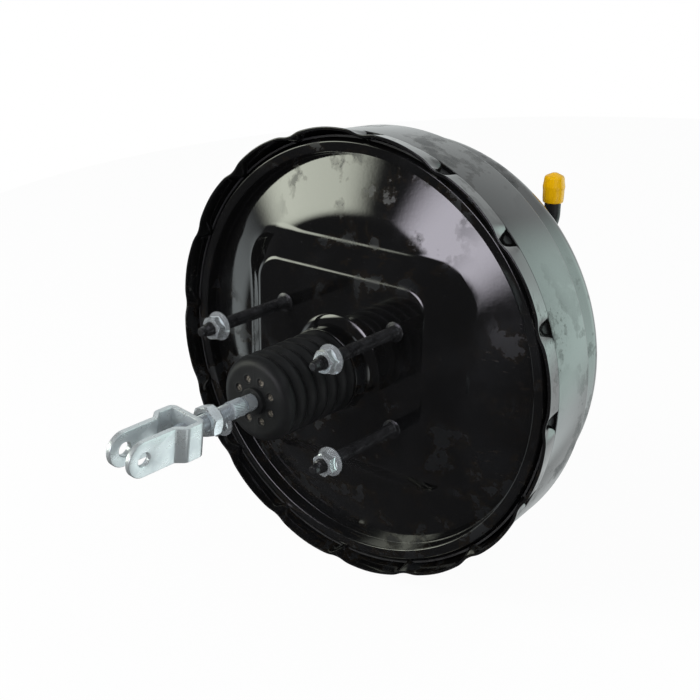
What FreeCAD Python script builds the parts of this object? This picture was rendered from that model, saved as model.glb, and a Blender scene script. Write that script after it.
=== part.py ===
import FreeCAD, Part

"""Vacuum brake booster: a single-diaphragm servo with its push rod, clevis and check valve.

The row frame has its origin at the centre of the mounting pad.  -Y runs towards the pedal,
+Y towards the master cylinder and +Z is up.  All sizes are millimetres.
"""

import math
import os
import re

import Sketcher
from FreeCAD import Placement, Rotation, Vector

# Driving dimensions.  Radii are measured from a piece's own axis, stations along +Y from the pad.
SIZES = {
    # sheet metal of the two shells
    "shell_wall": 2.0,
    "drum_radius": 142.4,
    "lip_flare": 3.2,
    "lip_station": 9.5,
    "band_taper": 2.4,
    "band_station": 25.2,
    "step_station": 66.5,
    "drum_step": 8.4,
    "face_station": 100.0,
    "shoulder_bend": 10.0,
    "face_width": 44.0,
    "nose_radius": 58.0,
    "nose_station": 118.0,
    "nose_bore": 22.0,
    "lance_count": 16.0,
    "lance_angle": 19.8,
    "lance_depth": 3.2,
    "lance_slope": 1.2,
    "lance_run_out": 0.8,
    "slit_width": 6.0,
    "slit_height": 2.6,
    # rear shell
    "plateau_radius": 94.1,
    "plateau_station": 14.2,
    "plateau_bend": 12.0,
    "groove_width": 1.5,
    "groove_station": 24.8,
    "rim_width": 6.5,
    "rim_station": 16.6,
    "skirt_flare": 2.0,
    "skirt_gap": 1.9,
    "skirt_station": 23.0,
    "pad_half_width": 67.0,
    "pad_half_height": 61.0,
    "pad_corner": 17.0,
    "draft_width": 1.268,
    "draft_height": 1.056,
    "draft_corner": 1.2,
    "pad_edge": 2.6,
    "neck_step": 3.0,
    "neck_length": 15.6,
    "neck_lip": 3.0,
    "neck_step_length": 6.5,
    "neck_clearance": 1.6,
    "neck_cove": 4.4,
    # fasteners
    "stud_half_x": 44.0,
    "stud_half_z": 32.0,
    "stud_radius": 4.0,
    "stud_length": 72.7,
    "stud_pilot_radius": 2.9,
    "stud_pilot_length": 4.0,
    "stud_collar_radius": 6.5,
    "stud_head_radius": 8.0,
    "stud_head_height": 2.6,
    "nut_station": 60.1,
    "nut_height": 8.0,
    "nut_flat": 13.0,
    "nut_flange_radius": 8.95,
    "nut_flange_height": 1.4,
    "thread_step": 0.1,
    "cylinder_stud_half": 42.0,
    "cylinder_stud_length": 28.0,
    "plate_thickness": 3.0,
    "plate_half_width": 54.0,
    "plate_half_height": 34.0,
    "plate_corner": 28.0,
    # guide and seals
    "bush_length": 8.8,
    "seal_length": 4.8,
    "retainer_thickness": 1.0,
    "front_seal_bore": 18.0,
    "front_seal_flange": 26.0,
    "front_seal_flange_thickness": 3.0,
    # power piston
    "tube_radius": 20.0,
    "tube_wall": 3.5,
    "tube_station": 74.0,
    "flange_radius": 36.0,
    "flange_station": 8.0,
    "flange_thickness": 6.0,
    "hub_radius": 23.0,
    "hub_station": 50.0,
    "head_bore": 10.5,
    "head_depth": 11.0,
    "disc_radius": 13.0,
    "disc_station": 37.0,
    "disc_thickness": 8.0,
    "support_wall": 1.6,
    "roll_width": 11.9,
    "support_station": 33.0,
    "diaphragm_thickness": 1.8,
    "support_inner": 57.5,
    "support_knee": 79.6,
    "support_knee_station": 22.6,
    "support_flange": 7.0,
    "diaphragm_crest": 44.0,
    "diaphragm_bead": 2.2,
    "output_rod_radius": 5.5,
    "output_head_thickness": 4.4,
    "output_rod_station": 110.0,
    "screw_depth": 14.0,
    "cover_wall": 1.0,
    "cover_skirt": 8.0,
    "screw_flat": 9.0,
    "screw_head": 8.0,
    "screw_radius": 3.0,
    "key_thickness": 2.5,
    "key_width": 12.0,
    "key_station": 22.0,
    # control valve and push rod
    "plunger_radius": 6.0,
    "plunger_head_radius": 9.2,
    "plunger_neck_radius": 4.0,
    "valve_gap": 0.4,
    "valve_stroke": 1.5,
    "ball_radius": 5.0,
    "ball_station": 4.0,
    "rod_neck_radius": 3.4,
    "rod_radius": 5.0,
    "rod_shoulder_station": 16.0,
    "knurl_radius": 5.6,
    "knurl_station": 87.9,
    "knurl_length": 11.4,
    "rod_end_station": 139.5,
    "lock_nut_station": 111.8,
    "lock_nut_height": 7.5,
    "lock_nut_flat": 17.0,
    "poppet_inset": 1.9,
    "poppet_bore": 7.8,
    "poppet_face": 2.3,
    "poppet_bead": 1.6,
    "poppet_spring_radius": 10.6,
    "poppet_wire": 0.55,
    "cup_station": 20.0,
    "cup_wall": 0.9,
    "cup_bore": 7.4,
    "seat_station": 44.0,
    "seat_radius": 11.0,
    "seat_thickness": 2.0,
    "rod_spring_radius": 8.6,
    "rod_wire": 0.8,
    "filter_bore": 9.0,
    "filter_length": 21.0,
    "felt_length": 4.0,
    # dust boot
    "boot_wall": 1.3,
    "boot_slack": 1.3,
    "boot_fold": 4.0,
    "boot_first_crest": 23.4,
    "boot_pitch": 9.6,
    "boot_end_station": 77.3,
    "boot_end_round": 3.0,
    "boot_collar_radius": 8.3,
    "boot_collar_length": 2.6,
    "vent_circle": 13.2,
    "vent_radius": 2.2,
    "vent_count": 8.0,
    # clevis
    "clevis_turn": 7.0,
    "clevis_wall": 3.3,
    "clevis_station": 130.6,
    "clevis_wide": 13.6,
    "clevis_half": 9.1,
    "clevis_joggle": 14.0,
    "clevis_joggle_length": 5.5,
    "clevis_bend": 1.2,
    "pin_station": 172.1,
    "pin_bore": 4.1,
    "ear_radius": 10.7,
    # return spring
    "spring_wire": 1.7,
    "spring_radius": 28.5,
    "spring_turns": 5.0,
    # check valve and vacuum elbow
    "port_inset": 25.8,
    "port_angle": 46.12,
    "port_hole": 10.0,
    "grommet_radius": 13.5,
    "grommet_flange": 3.0,
    "barb_radius": 7.0,
    "valve_body_radius": 12.6,
    "valve_body_length": 10.0,
    "valve_body_wall": 1.9,
    "elbow_station": 127.7,
    "elbow_bend": 9.0,
    "elbow_radius": 5.3,
    "elbow_bore": 3.5,
    "nipple_height": 32.0,
    "nipple_bead": 5.8,
    "nipple_bead_length": 4.0,
    "check_radius": 7.6,
    "check_thickness": 1.8,
    "check_spring_radius": 5.4,
    "check_wire": 0.35,
    "check_inlet": 3.6,
    "cap_radius": 7.25,
    "cap_bottom": 16.0,
    "cap_height": 19.5,
    "cap_top_wall": 1.6,
    # clearances
    "running_fit": 0.06,
    "seat_fit": 0.03,
    "soft_gap": 0.3,
}

# Sizes that follow from the driving ones, so that pieces that nest in one another stay nested.
FOLLOWING = {
    "band_radius": "drum_radius + band_taper",
    "lip_radius": "band_radius + lip_flare",
    "second_radius": "drum_radius - drum_step",
    "face_inner_radius": "second_radius - face_width",
    "skirt_radius": "band_radius - shell_wall - skirt_gap",
    "rim_outer_radius": "skirt_radius - skirt_flare",
    "rim_inner_radius": "rim_outer_radius - rim_width",
    "groove_radius": "rim_inner_radius - groove_width",
    "support_radius": "groove_radius - roll_width",
    "port_x": "(second_radius - port_inset) * cos(port_angle * 1deg)",
    "port_z": "(second_radius - port_inset) * sin(port_angle * 1deg)",
    "neck_bore": "tube_radius + neck_clearance",
    "neck_step_radius": "neck_bore + neck_lip",
    "neck_radius": "neck_step_radius + neck_step",
    "tube_bore": "tube_radius - tube_wall",
    "poppet_radius": "tube_bore - poppet_inset",
    "boot_valley": "tube_radius + boot_slack + boot_wall",
    "boot_crest": "boot_valley + boot_fold",
    "boot_end_radius": "boot_crest - boot_end_round",
}

document = FreeCAD.newDocument("brake_booster")
sheet = document.addObject("Spreadsheet::Sheet", "Sizes")
cells = {alias: str(size) for alias, size in SIZES.items()}
cells.update({alias: f"={formula}" for alias, formula in FOLLOWING.items()})
for row, (alias, content) in enumerate(cells.items(), start=1):
    sheet.set(f"A{row}", alias.replace("_", " "))
    sheet.set(f"B{row}", content)
    sheet.setAlias(f"B{row}", alias)
document.recompute()

nodes = []


# Formulas in size names


def bound(formula):
    """Return a formula in plain size names as one that reads the sheet's cells."""
    return re.sub(
        r"[a-z][a-z_]*",
        lambda word: f"Sizes.{word[0]}" if word[0] in cells else word[0],
        formula,
    )


def size_of(formula):
    """Return the present value of a formula in plain size names."""
    return float(sheet.evalExpression(formula))


# Bodies and sketches


def new_body(label, place=("0", "0", "0"), exported=True):
    """Return an empty body that stands at a place of three formulas and has a file of its own."""
    body = document.addObject("PartDesign::Body", label)
    body.Label = label
    for axis, formula in zip("xyz", place):
        if formula != "0":
            body.setExpression(f"Placement.Base.{axis}", bound(formula))
    if exported:
        nodes.append(body)
    return body


def origin_item(body, role):
    """Return one of a body's own origin planes or axes."""
    return next(item for item in body.Origin.OriginFeatures if item.Role == role)


def new_sketch(body, name, role="XY_Plane", offset=None):
    """Return a sketch on an origin plane, moved along the plane's normal by a formula."""
    sketch = body.newObject("Sketcher::SketchObject", name)
    sketch.AttachmentSupport = [(origin_item(body, role), "")]
    sketch.MapMode = "FlatFace"
    if offset is not None:
        sketch.setExpression("AttachmentOffset.Base.z", bound(offset))
    return sketch


def pin_point(sketch, geometry, place, corner, tag):
    """Hold one point of a sketch at the two formulas of a corner."""
    for axis, letter, formula, zero_axis in (
        ("DistanceX", "x", corner[0], -2),
        ("DistanceY", "y", corner[1], -1),
    ):
        if formula == "0":
            sketch.addConstraint(Sketcher.Constraint("PointOnObject", geometry, place, zero_axis))
            continue
        number = sketch.addConstraint(Sketcher.Constraint(axis, geometry, place, size_of(formula)))
        sketch.renameConstraint(number, f"{letter}_{tag}")
        sketch.setExpression(f"Constraints.{letter}_{tag}", bound(formula))


def turn_at(points, corner, closed=False):
    """Return the signed turn of a line at one of its corners, left turns positive."""
    count = len(points)
    before = points[corner] - points[corner - 1]
    after = points[(corner + 1) % count if closed else corner + 1] - points[corner]
    return math.atan2(before.x * after.y - before.y * after.x, before.dot(after))


def draw_line(sketch, points, bends, closed=False):
    """Draw straight runs through points, with tangent arcs at the corners named in bends.

    bends maps a corner's number to its radius formula.  Returns the numbers of the runs.
    """
    count = len(points)
    runs = count if closed else count - 1
    trims = {}
    for corner, radius in bends.items():
        trims[corner] = size_of(radius) * math.tan(abs(turn_at(points, corner, closed)) / 2)
    lines = []
    for run in range(runs):
        start = points[run]
        end = points[(run + 1) % count]
        along = (end - start).normalize()
        first = start + along * trims.get(run, 0)
        last = end - along * trims.get((run + 1) % count, 0)
        lines.append(sketch.addGeometry(Part.LineSegment(first, last), False))
    for corner in range(count) if closed else range(1, count - 1):
        before = lines[corner - 1]
        after = lines[corner]
        if corner not in bends:
            sketch.addConstraint(Sketcher.Constraint("Coincident", before, 2, after, 1))
            continue
        turn = turn_at(points, corner, closed)
        radius = size_of(bends[corner])
        along = (points[corner] - points[corner - 1]).normalize()
        side = Vector(-along.y, along.x, 0) * math.copysign(radius, turn)
        centre = points[corner] - along * trims[corner] + side
        heading = math.atan2(-side.y, -side.x)
        circle = Part.Circle(centre, Vector(0, 0, 1), radius)
        start, end = (heading, heading + turn) if turn > 0 else (heading + turn, heading)
        arc = sketch.addGeometry(Part.ArcOfCircle(circle, start, end), False)
        near, far = (1, 2) if turn > 0 else (2, 1)
        sketch.addConstraint(Sketcher.Constraint("Tangent", before, 2, arc, near))
        sketch.addConstraint(Sketcher.Constraint("Tangent", after, 1, arc, far))
        number = sketch.addConstraint(Sketcher.Constraint("Radius", arc, radius))
        sketch.renameConstraint(number, f"bend_{arc}")
        sketch.setExpression(f"Constraints.bend_{arc}", bound(bends[corner]))
    return lines


def pin_corners(sketch, lines, corners, bends, closed=False):
    """Hold the corners of a drawn line at their formulas; a bent corner gets a guide point."""
    for corner, place in enumerate(corners):
        tag = f"{lines[0]}_{corner}"
        if corner in bends:
            middle = Vector(size_of(place[0]), size_of(place[1]), 0)
            point = sketch.addGeometry(Part.Point(middle), True)
            pin_point(sketch, point, 1, place, tag)
            sketch.addConstraint(Sketcher.Constraint("PointOnObject", point, 1, lines[corner - 1]))
            sketch.addConstraint(Sketcher.Constraint("PointOnObject", point, 1, lines[corner]))
        elif corner == len(lines) and not closed:
            pin_point(sketch, lines[-1], 2, place, tag)
        else:
            pin_point(sketch, lines[corner], 1, place, tag)


def closed_outline(sketch, corners, bends=None):
    """Draw a closed outline from corners given as pairs of formulas."""
    bends = bends or {}
    points = [Vector(size_of(x), size_of(y), 0) for x, y in corners]
    lines = draw_line(sketch, points, bends, closed=True)
    pin_corners(sketch, lines, corners, bends, closed=True)


def offset_line(points, wall):
    """Return an open line set off to its left by wall, with mitred corners."""
    lines = []
    for start, end in zip(points, points[1:]):
        along = (end - start).normalize()
        side = Vector(-along.y, along.x, 0) * wall
        lines.append((start + side, along))
    offset = [lines[0][0]]
    for (base, along), (other, heading) in zip(lines, lines[1:]):
        gap = other - base
        cross = along.x * heading.y - along.y * heading.x
        reach = (gap.x * heading.y - gap.y * heading.x) / cross
        offset.append(base + along * reach)
    last_side = Vector(-lines[-1][1].y, lines[-1][1].x, 0) * wall
    offset.append(points[-1] + last_side)
    return offset


def wall_outline(sketch, corners, wall, bends=None):
    """Draw the section of a formed sheet: a line of corners and its parallel, one wall to the left.

    bends maps a corner's number to the formula of its inside radius.
    """
    bends = bends or {}
    points = [Vector(size_of(x), size_of(y), 0) for x, y in corners]
    wide = {corner: f"({radius}) + ({wall})" for corner, radius in bends.items()}
    left = {corner for corner in bends if turn_at(points, corner) > 0}
    right_bends = {corner: (wide if corner in left else bends)[corner] for corner in bends}
    left_bends = {corner: (bends if corner in left else wide)[corner] for corner in bends}
    near = draw_line(sketch, points, right_bends)
    inner = offset_line(points, size_of(wall))
    far = draw_line(sketch, inner, left_bends)
    start_cap = sketch.addGeometry(Part.LineSegment(points[0], inner[0]), False)
    end_cap = sketch.addGeometry(Part.LineSegment(points[-1], inner[-1]), False)
    sketch.addConstraint(Sketcher.Constraint("Coincident", start_cap, 1, near[0], 1))
    sketch.addConstraint(Sketcher.Constraint("Coincident", start_cap, 2, far[0], 1))
    sketch.addConstraint(Sketcher.Constraint("Coincident", end_cap, 1, near[-1], 2))
    sketch.addConstraint(Sketcher.Constraint("Coincident", end_cap, 2, far[-1], 2))
    pin_corners(sketch, near, corners, bends)
    for index, (one, other) in enumerate(zip(near, far)):
        sketch.addConstraint(Sketcher.Constraint("Parallel", one, other))
        number = sketch.addConstraint(Sketcher.Constraint("Distance", other, 1, one, size_of(wall)))
        sketch.renameConstraint(number, f"wall_{index}")
        sketch.setExpression(f"Constraints.wall_{index}", bound(wall))
    sketch.addConstraint(Sketcher.Constraint("Perpendicular", start_cap, near[0]))
    sketch.addConstraint(Sketcher.Constraint("Perpendicular", end_cap, near[-1]))


def rounded_rectangle(sketch, half_width, half_height, corner):
    """Draw a rectangle about the sketch's origin with round corners, from three formulas."""
    wide = size_of(half_width)
    high = size_of(half_height)
    radius = size_of(corner)
    quarter = math.pi / 2
    ends = (
        ((wide, radius - high), (wide, high - radius)),
        ((wide - radius, high), (radius - wide, high)),
        ((-wide, high - radius), (-wide, radius - high)),
        ((radius - wide, -high), (wide - radius, -high)),
    )
    centres = ((1, 1), (-1, 1), (-1, -1), (1, -1))
    for index, (start, end) in enumerate(ends):
        sketch.addGeometry(Part.LineSegment(Vector(*start, 0), Vector(*end, 0)), False)
        side = centres[index]
        middle = Vector(side[0] * (wide - radius), side[1] * (high - radius), 0)
        circle = Part.Circle(middle, Vector(0, 0, 1), radius)
        sketch.addGeometry(Part.ArcOfCircle(circle, index * quarter, (index + 1) * quarter), False)
    for index in range(4):
        line = 2 * index
        arc = line + 1
        sketch.addConstraint(Sketcher.Constraint("Tangent", line, 2, arc, 1))
        sketch.addConstraint(Sketcher.Constraint("Tangent", arc, 2, (line + 2) % 8, 1))
    for line, direction in ((0, "Vertical"), (2, "Horizontal"), (4, "Vertical"), (6, "Horizontal")):
        sketch.addConstraint(Sketcher.Constraint(direction, line))
    for arc in (3, 5, 7):
        sketch.addConstraint(Sketcher.Constraint("Equal", 1, arc))
    sides = (
        ("DistanceX", 0, half_width, wide, "right"),
        ("DistanceY", 2, half_height, high, "top"),
        ("DistanceX", 4, f"-({half_width})", -wide, "left"),
        ("DistanceY", 6, f"-({half_height})", -high, "bottom"),
    )
    for axis, line, formula, number, name in sides:
        place = sketch.addConstraint(Sketcher.Constraint(axis, line, 1, number))
        sketch.renameConstraint(place, name)
        sketch.setExpression(f"Constraints.{name}", bound(formula))
    place = sketch.addConstraint(Sketcher.Constraint("Radius", 1, radius))
    sketch.renameConstraint(place, "corner")
    sketch.setExpression("Constraints.corner", bound(corner))


def circle_at(sketch, across, up, radius, tag="circle"):
    """Draw a circle whose centre and radius are formulas."""
    middle = Vector(size_of(across), size_of(up), 0)
    number = sketch.addGeometry(Part.Circle(middle, Vector(0, 0, 1), size_of(radius)), False)
    pin_point(sketch, number, 3, (across, up), tag)
    place = sketch.addConstraint(Sketcher.Constraint("Radius", number, size_of(radius)))
    sketch.renameConstraint(place, f"radius_{tag}")
    sketch.setExpression(f"Constraints.radius_{tag}", bound(radius))


def hexagon(sketch, across_flats):
    """Draw a regular hexagon about the sketch's origin, flats up and down."""
    circle = Part.Circle(Vector(0, 0, 0), Vector(0, 0, 1), size_of(across_flats) / math.sqrt(3))
    ring = sketch.addGeometry(circle, True)
    sketch.addConstraint(Sketcher.Constraint("Coincident", ring, 3, -1, 1))
    points = [circle.value(math.pi / 3 * index) for index in range(6)]
    for index, point in enumerate(points):
        sketch.addGeometry(Part.LineSegment(point, points[(index + 1) % 6]), False)
    for index in range(6):
        line = ring + 1 + index
        following = ring + 1 + (index + 1) % 6
        sketch.addConstraint(Sketcher.Constraint("Coincident", line, 2, following, 1))
        sketch.addConstraint(Sketcher.Constraint("PointOnObject", line, 1, ring))
        if index:
            sketch.addConstraint(Sketcher.Constraint("Equal", ring + 1, line))
    sketch.addConstraint(Sketcher.Constraint("Horizontal", ring + 2))
    place = sketch.addConstraint(Sketcher.Constraint("Radius", ring, circle.Radius))
    sketch.renameConstraint(place, "corner_radius")
    sketch.setExpression("Constraints.corner_radius", bound(f"({across_flats}) / sqrt(3)"))


# Features


def turned(body, name, sketch, kind="Revolution"):
    """Turn a sketch once round the Y axis, as added or as cut material."""
    feature = body.newObject(f"PartDesign::{kind}", name)
    feature.Profile = (sketch, [""])
    feature.ReferenceAxis = (sketch, ["V_Axis"])
    feature.Angle = 360
    document.recompute()
    return feature


def turned_piece(label, corners, place=("0", "0", "0"), role="XY_Plane", exported=True, bends=None):
    """Return a body turned from one closed outline of (radius, station) corners."""
    body = new_body(label, place, exported)
    sketch = new_sketch(body, f"{label}_section", role)
    closed_outline(sketch, corners, bends)
    turned(body, f"{label}_turned", sketch)
    return body


def turned_sheet(label, corners, wall, bends=None):
    """Return a body turned from formed sheet whose section is a line of (radius, station) corners."""
    body = new_body(label)
    sketch = new_sketch(body, f"{label}_section")
    wall_outline(sketch, corners, wall, bends)
    turned(body, f"{label}_turned", sketch)
    return body


def cut_ring(body, name, corners, bends=None):
    """Cut a turned groove or bore out of a body, and check that it took material away."""
    before = body.Tip.Shape.Volume
    sketch = new_sketch(body, f"{name}_section")
    closed_outline(sketch, corners, bends)
    feature = turned(body, name, sketch, "Groove")
    if feature.Shape.Volume >= before:
        raise RuntimeError(f"{name} cuts nothing")
    return feature


def round_edges(body, name, edges, radius):
    """Round the named edges of a body's last feature by a formula."""
    base = body.Tip
    fillet = body.newObject("PartDesign::Fillet", name)
    fillet.Base = (base, edges)
    fillet.setExpression("Radius", bound(radius))
    document.recompute()
    return fillet


def round_about(body, name, features, count):
    """Repeat features evenly round the Y axis."""
    pattern = body.newObject("PartDesign::PolarPattern", name)
    pattern.Originals = features
    pattern.Axis = (origin_item(body, "Y_Axis"), [""])
    pattern.Angle = 360
    pattern.setExpression("Occurrences", bound(count))
    body.Tip = pattern
    document.recompute()
    return pattern


def padded(body, name, sketch, length, reverse=False, both_ways=False):
    """Pad a sketch by a formula, along its normal, against it or evenly both ways."""
    feature = body.newObject("PartDesign::Pad", name)
    feature.Profile = (sketch, [""])
    feature.setExpression("Length", bound(length))
    feature.Reversed = reverse
    feature.Midplane = both_ways
    document.recompute()
    return feature


def pocketed(body, name, sketch, length=None, reverse=False, both_ways=False):
    """Cut a sketch out of a body by a formula or right through, and check that it cut."""
    before = body.Tip.Shape.Volume
    feature = body.newObject("PartDesign::Pocket", name)
    feature.Profile = (sketch, [""])
    if length is None:
        feature.Type = "ThroughAll"
    else:
        feature.setExpression("Length", bound(length))
    feature.Reversed = reverse
    feature.Midplane = both_ways
    document.recompute()
    if feature.Shape.Volume >= before:
        raise RuntimeError(f"{name} cuts nothing")
    return feature


def mirrored_set(label, blank, planes):
    """Return one node with a blank and its mirror images in each plane normal given."""
    solids = [blank]
    for count, normal in enumerate(planes):
        for source in list(solids):
            image = document.addObject("Part::Mirroring", f"{label}_image_{count}_{len(solids)}")
            image.Source = source
            image.Base = Vector(0, 0, 0)
            image.Normal = normal
            solids.append(image)
    group = document.addObject("Part::Compound", label)
    group.Label = label
    group.Links = solids
    document.recompute()
    nodes.append(group)
    return group


def coil_spring(label, start, end, turns, coil, wire):
    """Return a coil spring between two stations, made of half rings tilted in turn.

    The half rings lie on alternate sides of the axis and meet end to end, and the wire is
    drawn six-sided to keep the coil light.
    """
    halves = 2 * round(size_of(turns))
    bottom = size_of(start)
    rise = (size_of(end) - bottom) / halves
    tilt = math.degrees(math.atan2(rise / 2, size_of(coil)))
    reach = f"sqrt(pow({coil}; 2) + pow((({end}) - ({start})) / {2 * halves}; 2))"
    rings = []
    for half in range(halves):
        section = document.addObject("Part::RegularPolygon", f"{label}_section_{half}")
        section.Polygon = 6
        section.setExpression("Circumradius", bound(wire))
        section.setExpression("Placement.Base.x", bound(reach))
        ring = document.addObject("Part::Revolution", f"{label}_half_{half}")
        ring.Source = section
        side = 1 if half % 2 == 0 else -1
        ring.Axis = Vector(0, side, 0)
        ring.Angle = 180
        ring.Solid = True
        middle = Vector(0, bottom + rise * (half + 0.5), 0)
        ring.Placement = Placement(middle, Rotation(Vector(0, 0, 1), side * tilt))
        rings.append(ring)
    spring = document.addObject("Part::MultiFuse", label)
    spring.Label = label
    spring.Shapes = rings
    nodes.append(spring)
    return spring


def spring_sleeve(label, start, end, coil, wire, place=("0", "0", "0")):
    """Return the plain closed sleeve that stands for a small coil spring between two stations."""
    inner = f"({coil}) - ({wire})"
    outer = f"({coil}) + ({wire})"
    corners = [(inner, start), (outer, start), (outer, end), (inner, end)]
    return turned_piece(label, corners, place)


# Shells


def make_rear_shell():
    """Rear shell: dished cone and rim turned, boss lofted with draft, then hollowed to one wall."""
    body = new_body("rear_shell")
    section = new_sketch(body, "rear_shell_section")
    dish = [
        ("0", "plateau_station"),
        ("plateau_radius", "plateau_station"),
        ("groove_radius", "groove_station"),
        ("rim_inner_radius", "rim_station"),
        ("rim_outer_radius", "rim_station"),
        ("skirt_radius", "skirt_station"),
    ]
    back = "groove_station + 2 * shell_wall"
    closed_outline(section, dish + [("skirt_radius", back), ("0", back)], {1: "plateau_bend"})
    turned(body, "rear_shell_dish", section)

    def boss_sketch(name, depth, inset_width, inset_height, corner):
        sketch = new_sketch(body, name, "XZ_Plane", f"-({depth})")
        wide = f"pad_half_width + draft_width * ({depth}) - {inset_width}"
        high = f"pad_half_height + draft_height * ({depth}) - {inset_height}"
        rounded_rectangle(sketch, wide, high, corner)
        return sketch

    root = "groove_station - shell_wall"
    pad = boss_sketch("pad_outline", "0", "0", "0", "pad_corner")
    base = boss_sketch("boss_outline", root, "0", "0", f"pad_corner + draft_corner * ({root})")
    boss = body.newObject("PartDesign::AdditiveLoft", "boss")
    boss.Profile = (pad, [""])
    boss.Sections = [(base, [""])]
    boss.Ruled = True
    document.recompute()
    pad_edges = [
        f"Edge{number}"
        for number, edge in enumerate(body.Tip.Shape.Edges, start=1)
        if all(abs(vertex.Point.y) < 0.001 for vertex in edge.Vertexes)
    ]
    round_edges(body, "pad_rounding", pad_edges, "pad_edge")

    neck = new_sketch(body, "neck_section")
    step_end = "-(neck_length + neck_step_length)"
    closed_outline(
        neck,
        [
            ("0", "shell_wall"),
            ("neck_radius + neck_cove", "shell_wall"),
            ("neck_radius + neck_cove", "0"),
            ("neck_radius", "-neck_cove"),
            ("neck_radius", "-neck_length"),
            ("neck_step_radius", "-neck_length"),
            ("neck_step_radius", step_end),
            ("0", step_end),
        ],
    )
    turned(body, "neck", neck)

    lift = "shell_wall * sqrt(1 + pow((groove_station - plateau_station) / (groove_radius - plateau_radius); 2))"
    hollow_groove = "groove_radius - 2 * shell_wall"
    cone_rise = "(groove_station - plateau_station) / (groove_radius - plateau_radius)"
    cut_ring(
        body,
        "dish_hollow",
        [
            ("0", "plateau_station + shell_wall"),
            ("plateau_radius", "plateau_station + shell_wall"),
            (hollow_groove, f"plateau_station + {lift} + {cone_rise} * ({hollow_groove} - plateau_radius)"),
            ("groove_radius", "groove_station + 1.4 * shell_wall"),
            ("rim_inner_radius + shell_wall", "rim_station + shell_wall"),
            ("rim_outer_radius - shell_wall", "rim_station + shell_wall"),
            ("skirt_radius - shell_wall", "skirt_station"),
            ("skirt_radius - shell_wall", "groove_station + 3 * shell_wall"),
            ("0", "groove_station + 3 * shell_wall"),
        ],
        {2: "plateau_bend"},
    )
    inset_width = "shell_wall * sqrt(1 + pow(draft_width; 2))"
    inset_height = "shell_wall * sqrt(1 + pow(draft_height; 2))"
    inner_corner = "pad_corner + draft_corner * ({depth}) - shell_wall"
    inner_pad = boss_sketch(
        "pad_hollow_outline", "shell_wall", inset_width, inset_height, inner_corner.format(depth="shell_wall")
    )
    inner_base = boss_sketch(
        "boss_hollow_outline", root, inset_width, inset_height, inner_corner.format(depth=root)
    )
    before = body.Tip.Shape.Volume
    hollow = body.newObject("PartDesign::SubtractiveLoft", "boss_hollow")
    hollow.Profile = (inner_pad, [""])
    hollow.Sections = [(inner_base, [""])]
    hollow.Ruled = True
    document.recompute()
    if hollow.Shape.Volume >= before:
        raise RuntimeError("boss_hollow cuts nothing")
    cut_ring(
        body,
        "neck_bore_cut",
        [
            ("0", "shell_wall + 0.5"),
            ("neck_radius - shell_wall", "shell_wall + 0.5"),
            ("neck_radius - shell_wall", "-(neck_length - shell_wall)"),
            ("neck_step_radius - shell_wall", "-(neck_length - shell_wall)"),
            ("neck_step_radius - shell_wall", f"{step_end} + shell_wall"),
            ("neck_bore", f"{step_end} + shell_wall"),
            ("neck_bore", f"{step_end} - 1"),
            ("0", f"{step_end} - 1"),
        ],
    )
    holes = new_sketch(body, "stud_holes_outline", "XZ_Plane", "2")
    for across in ("stud_half_x", "-stud_half_x"):
        for up in ("stud_half_z", "-stud_half_z"):
            circle_at(holes, across, up, "stud_collar_radius + seat_fit", f"{holes.GeometryCount}")
    pocketed(body, "stud_holes", holes, "shell_wall + 6")
    return body


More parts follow.
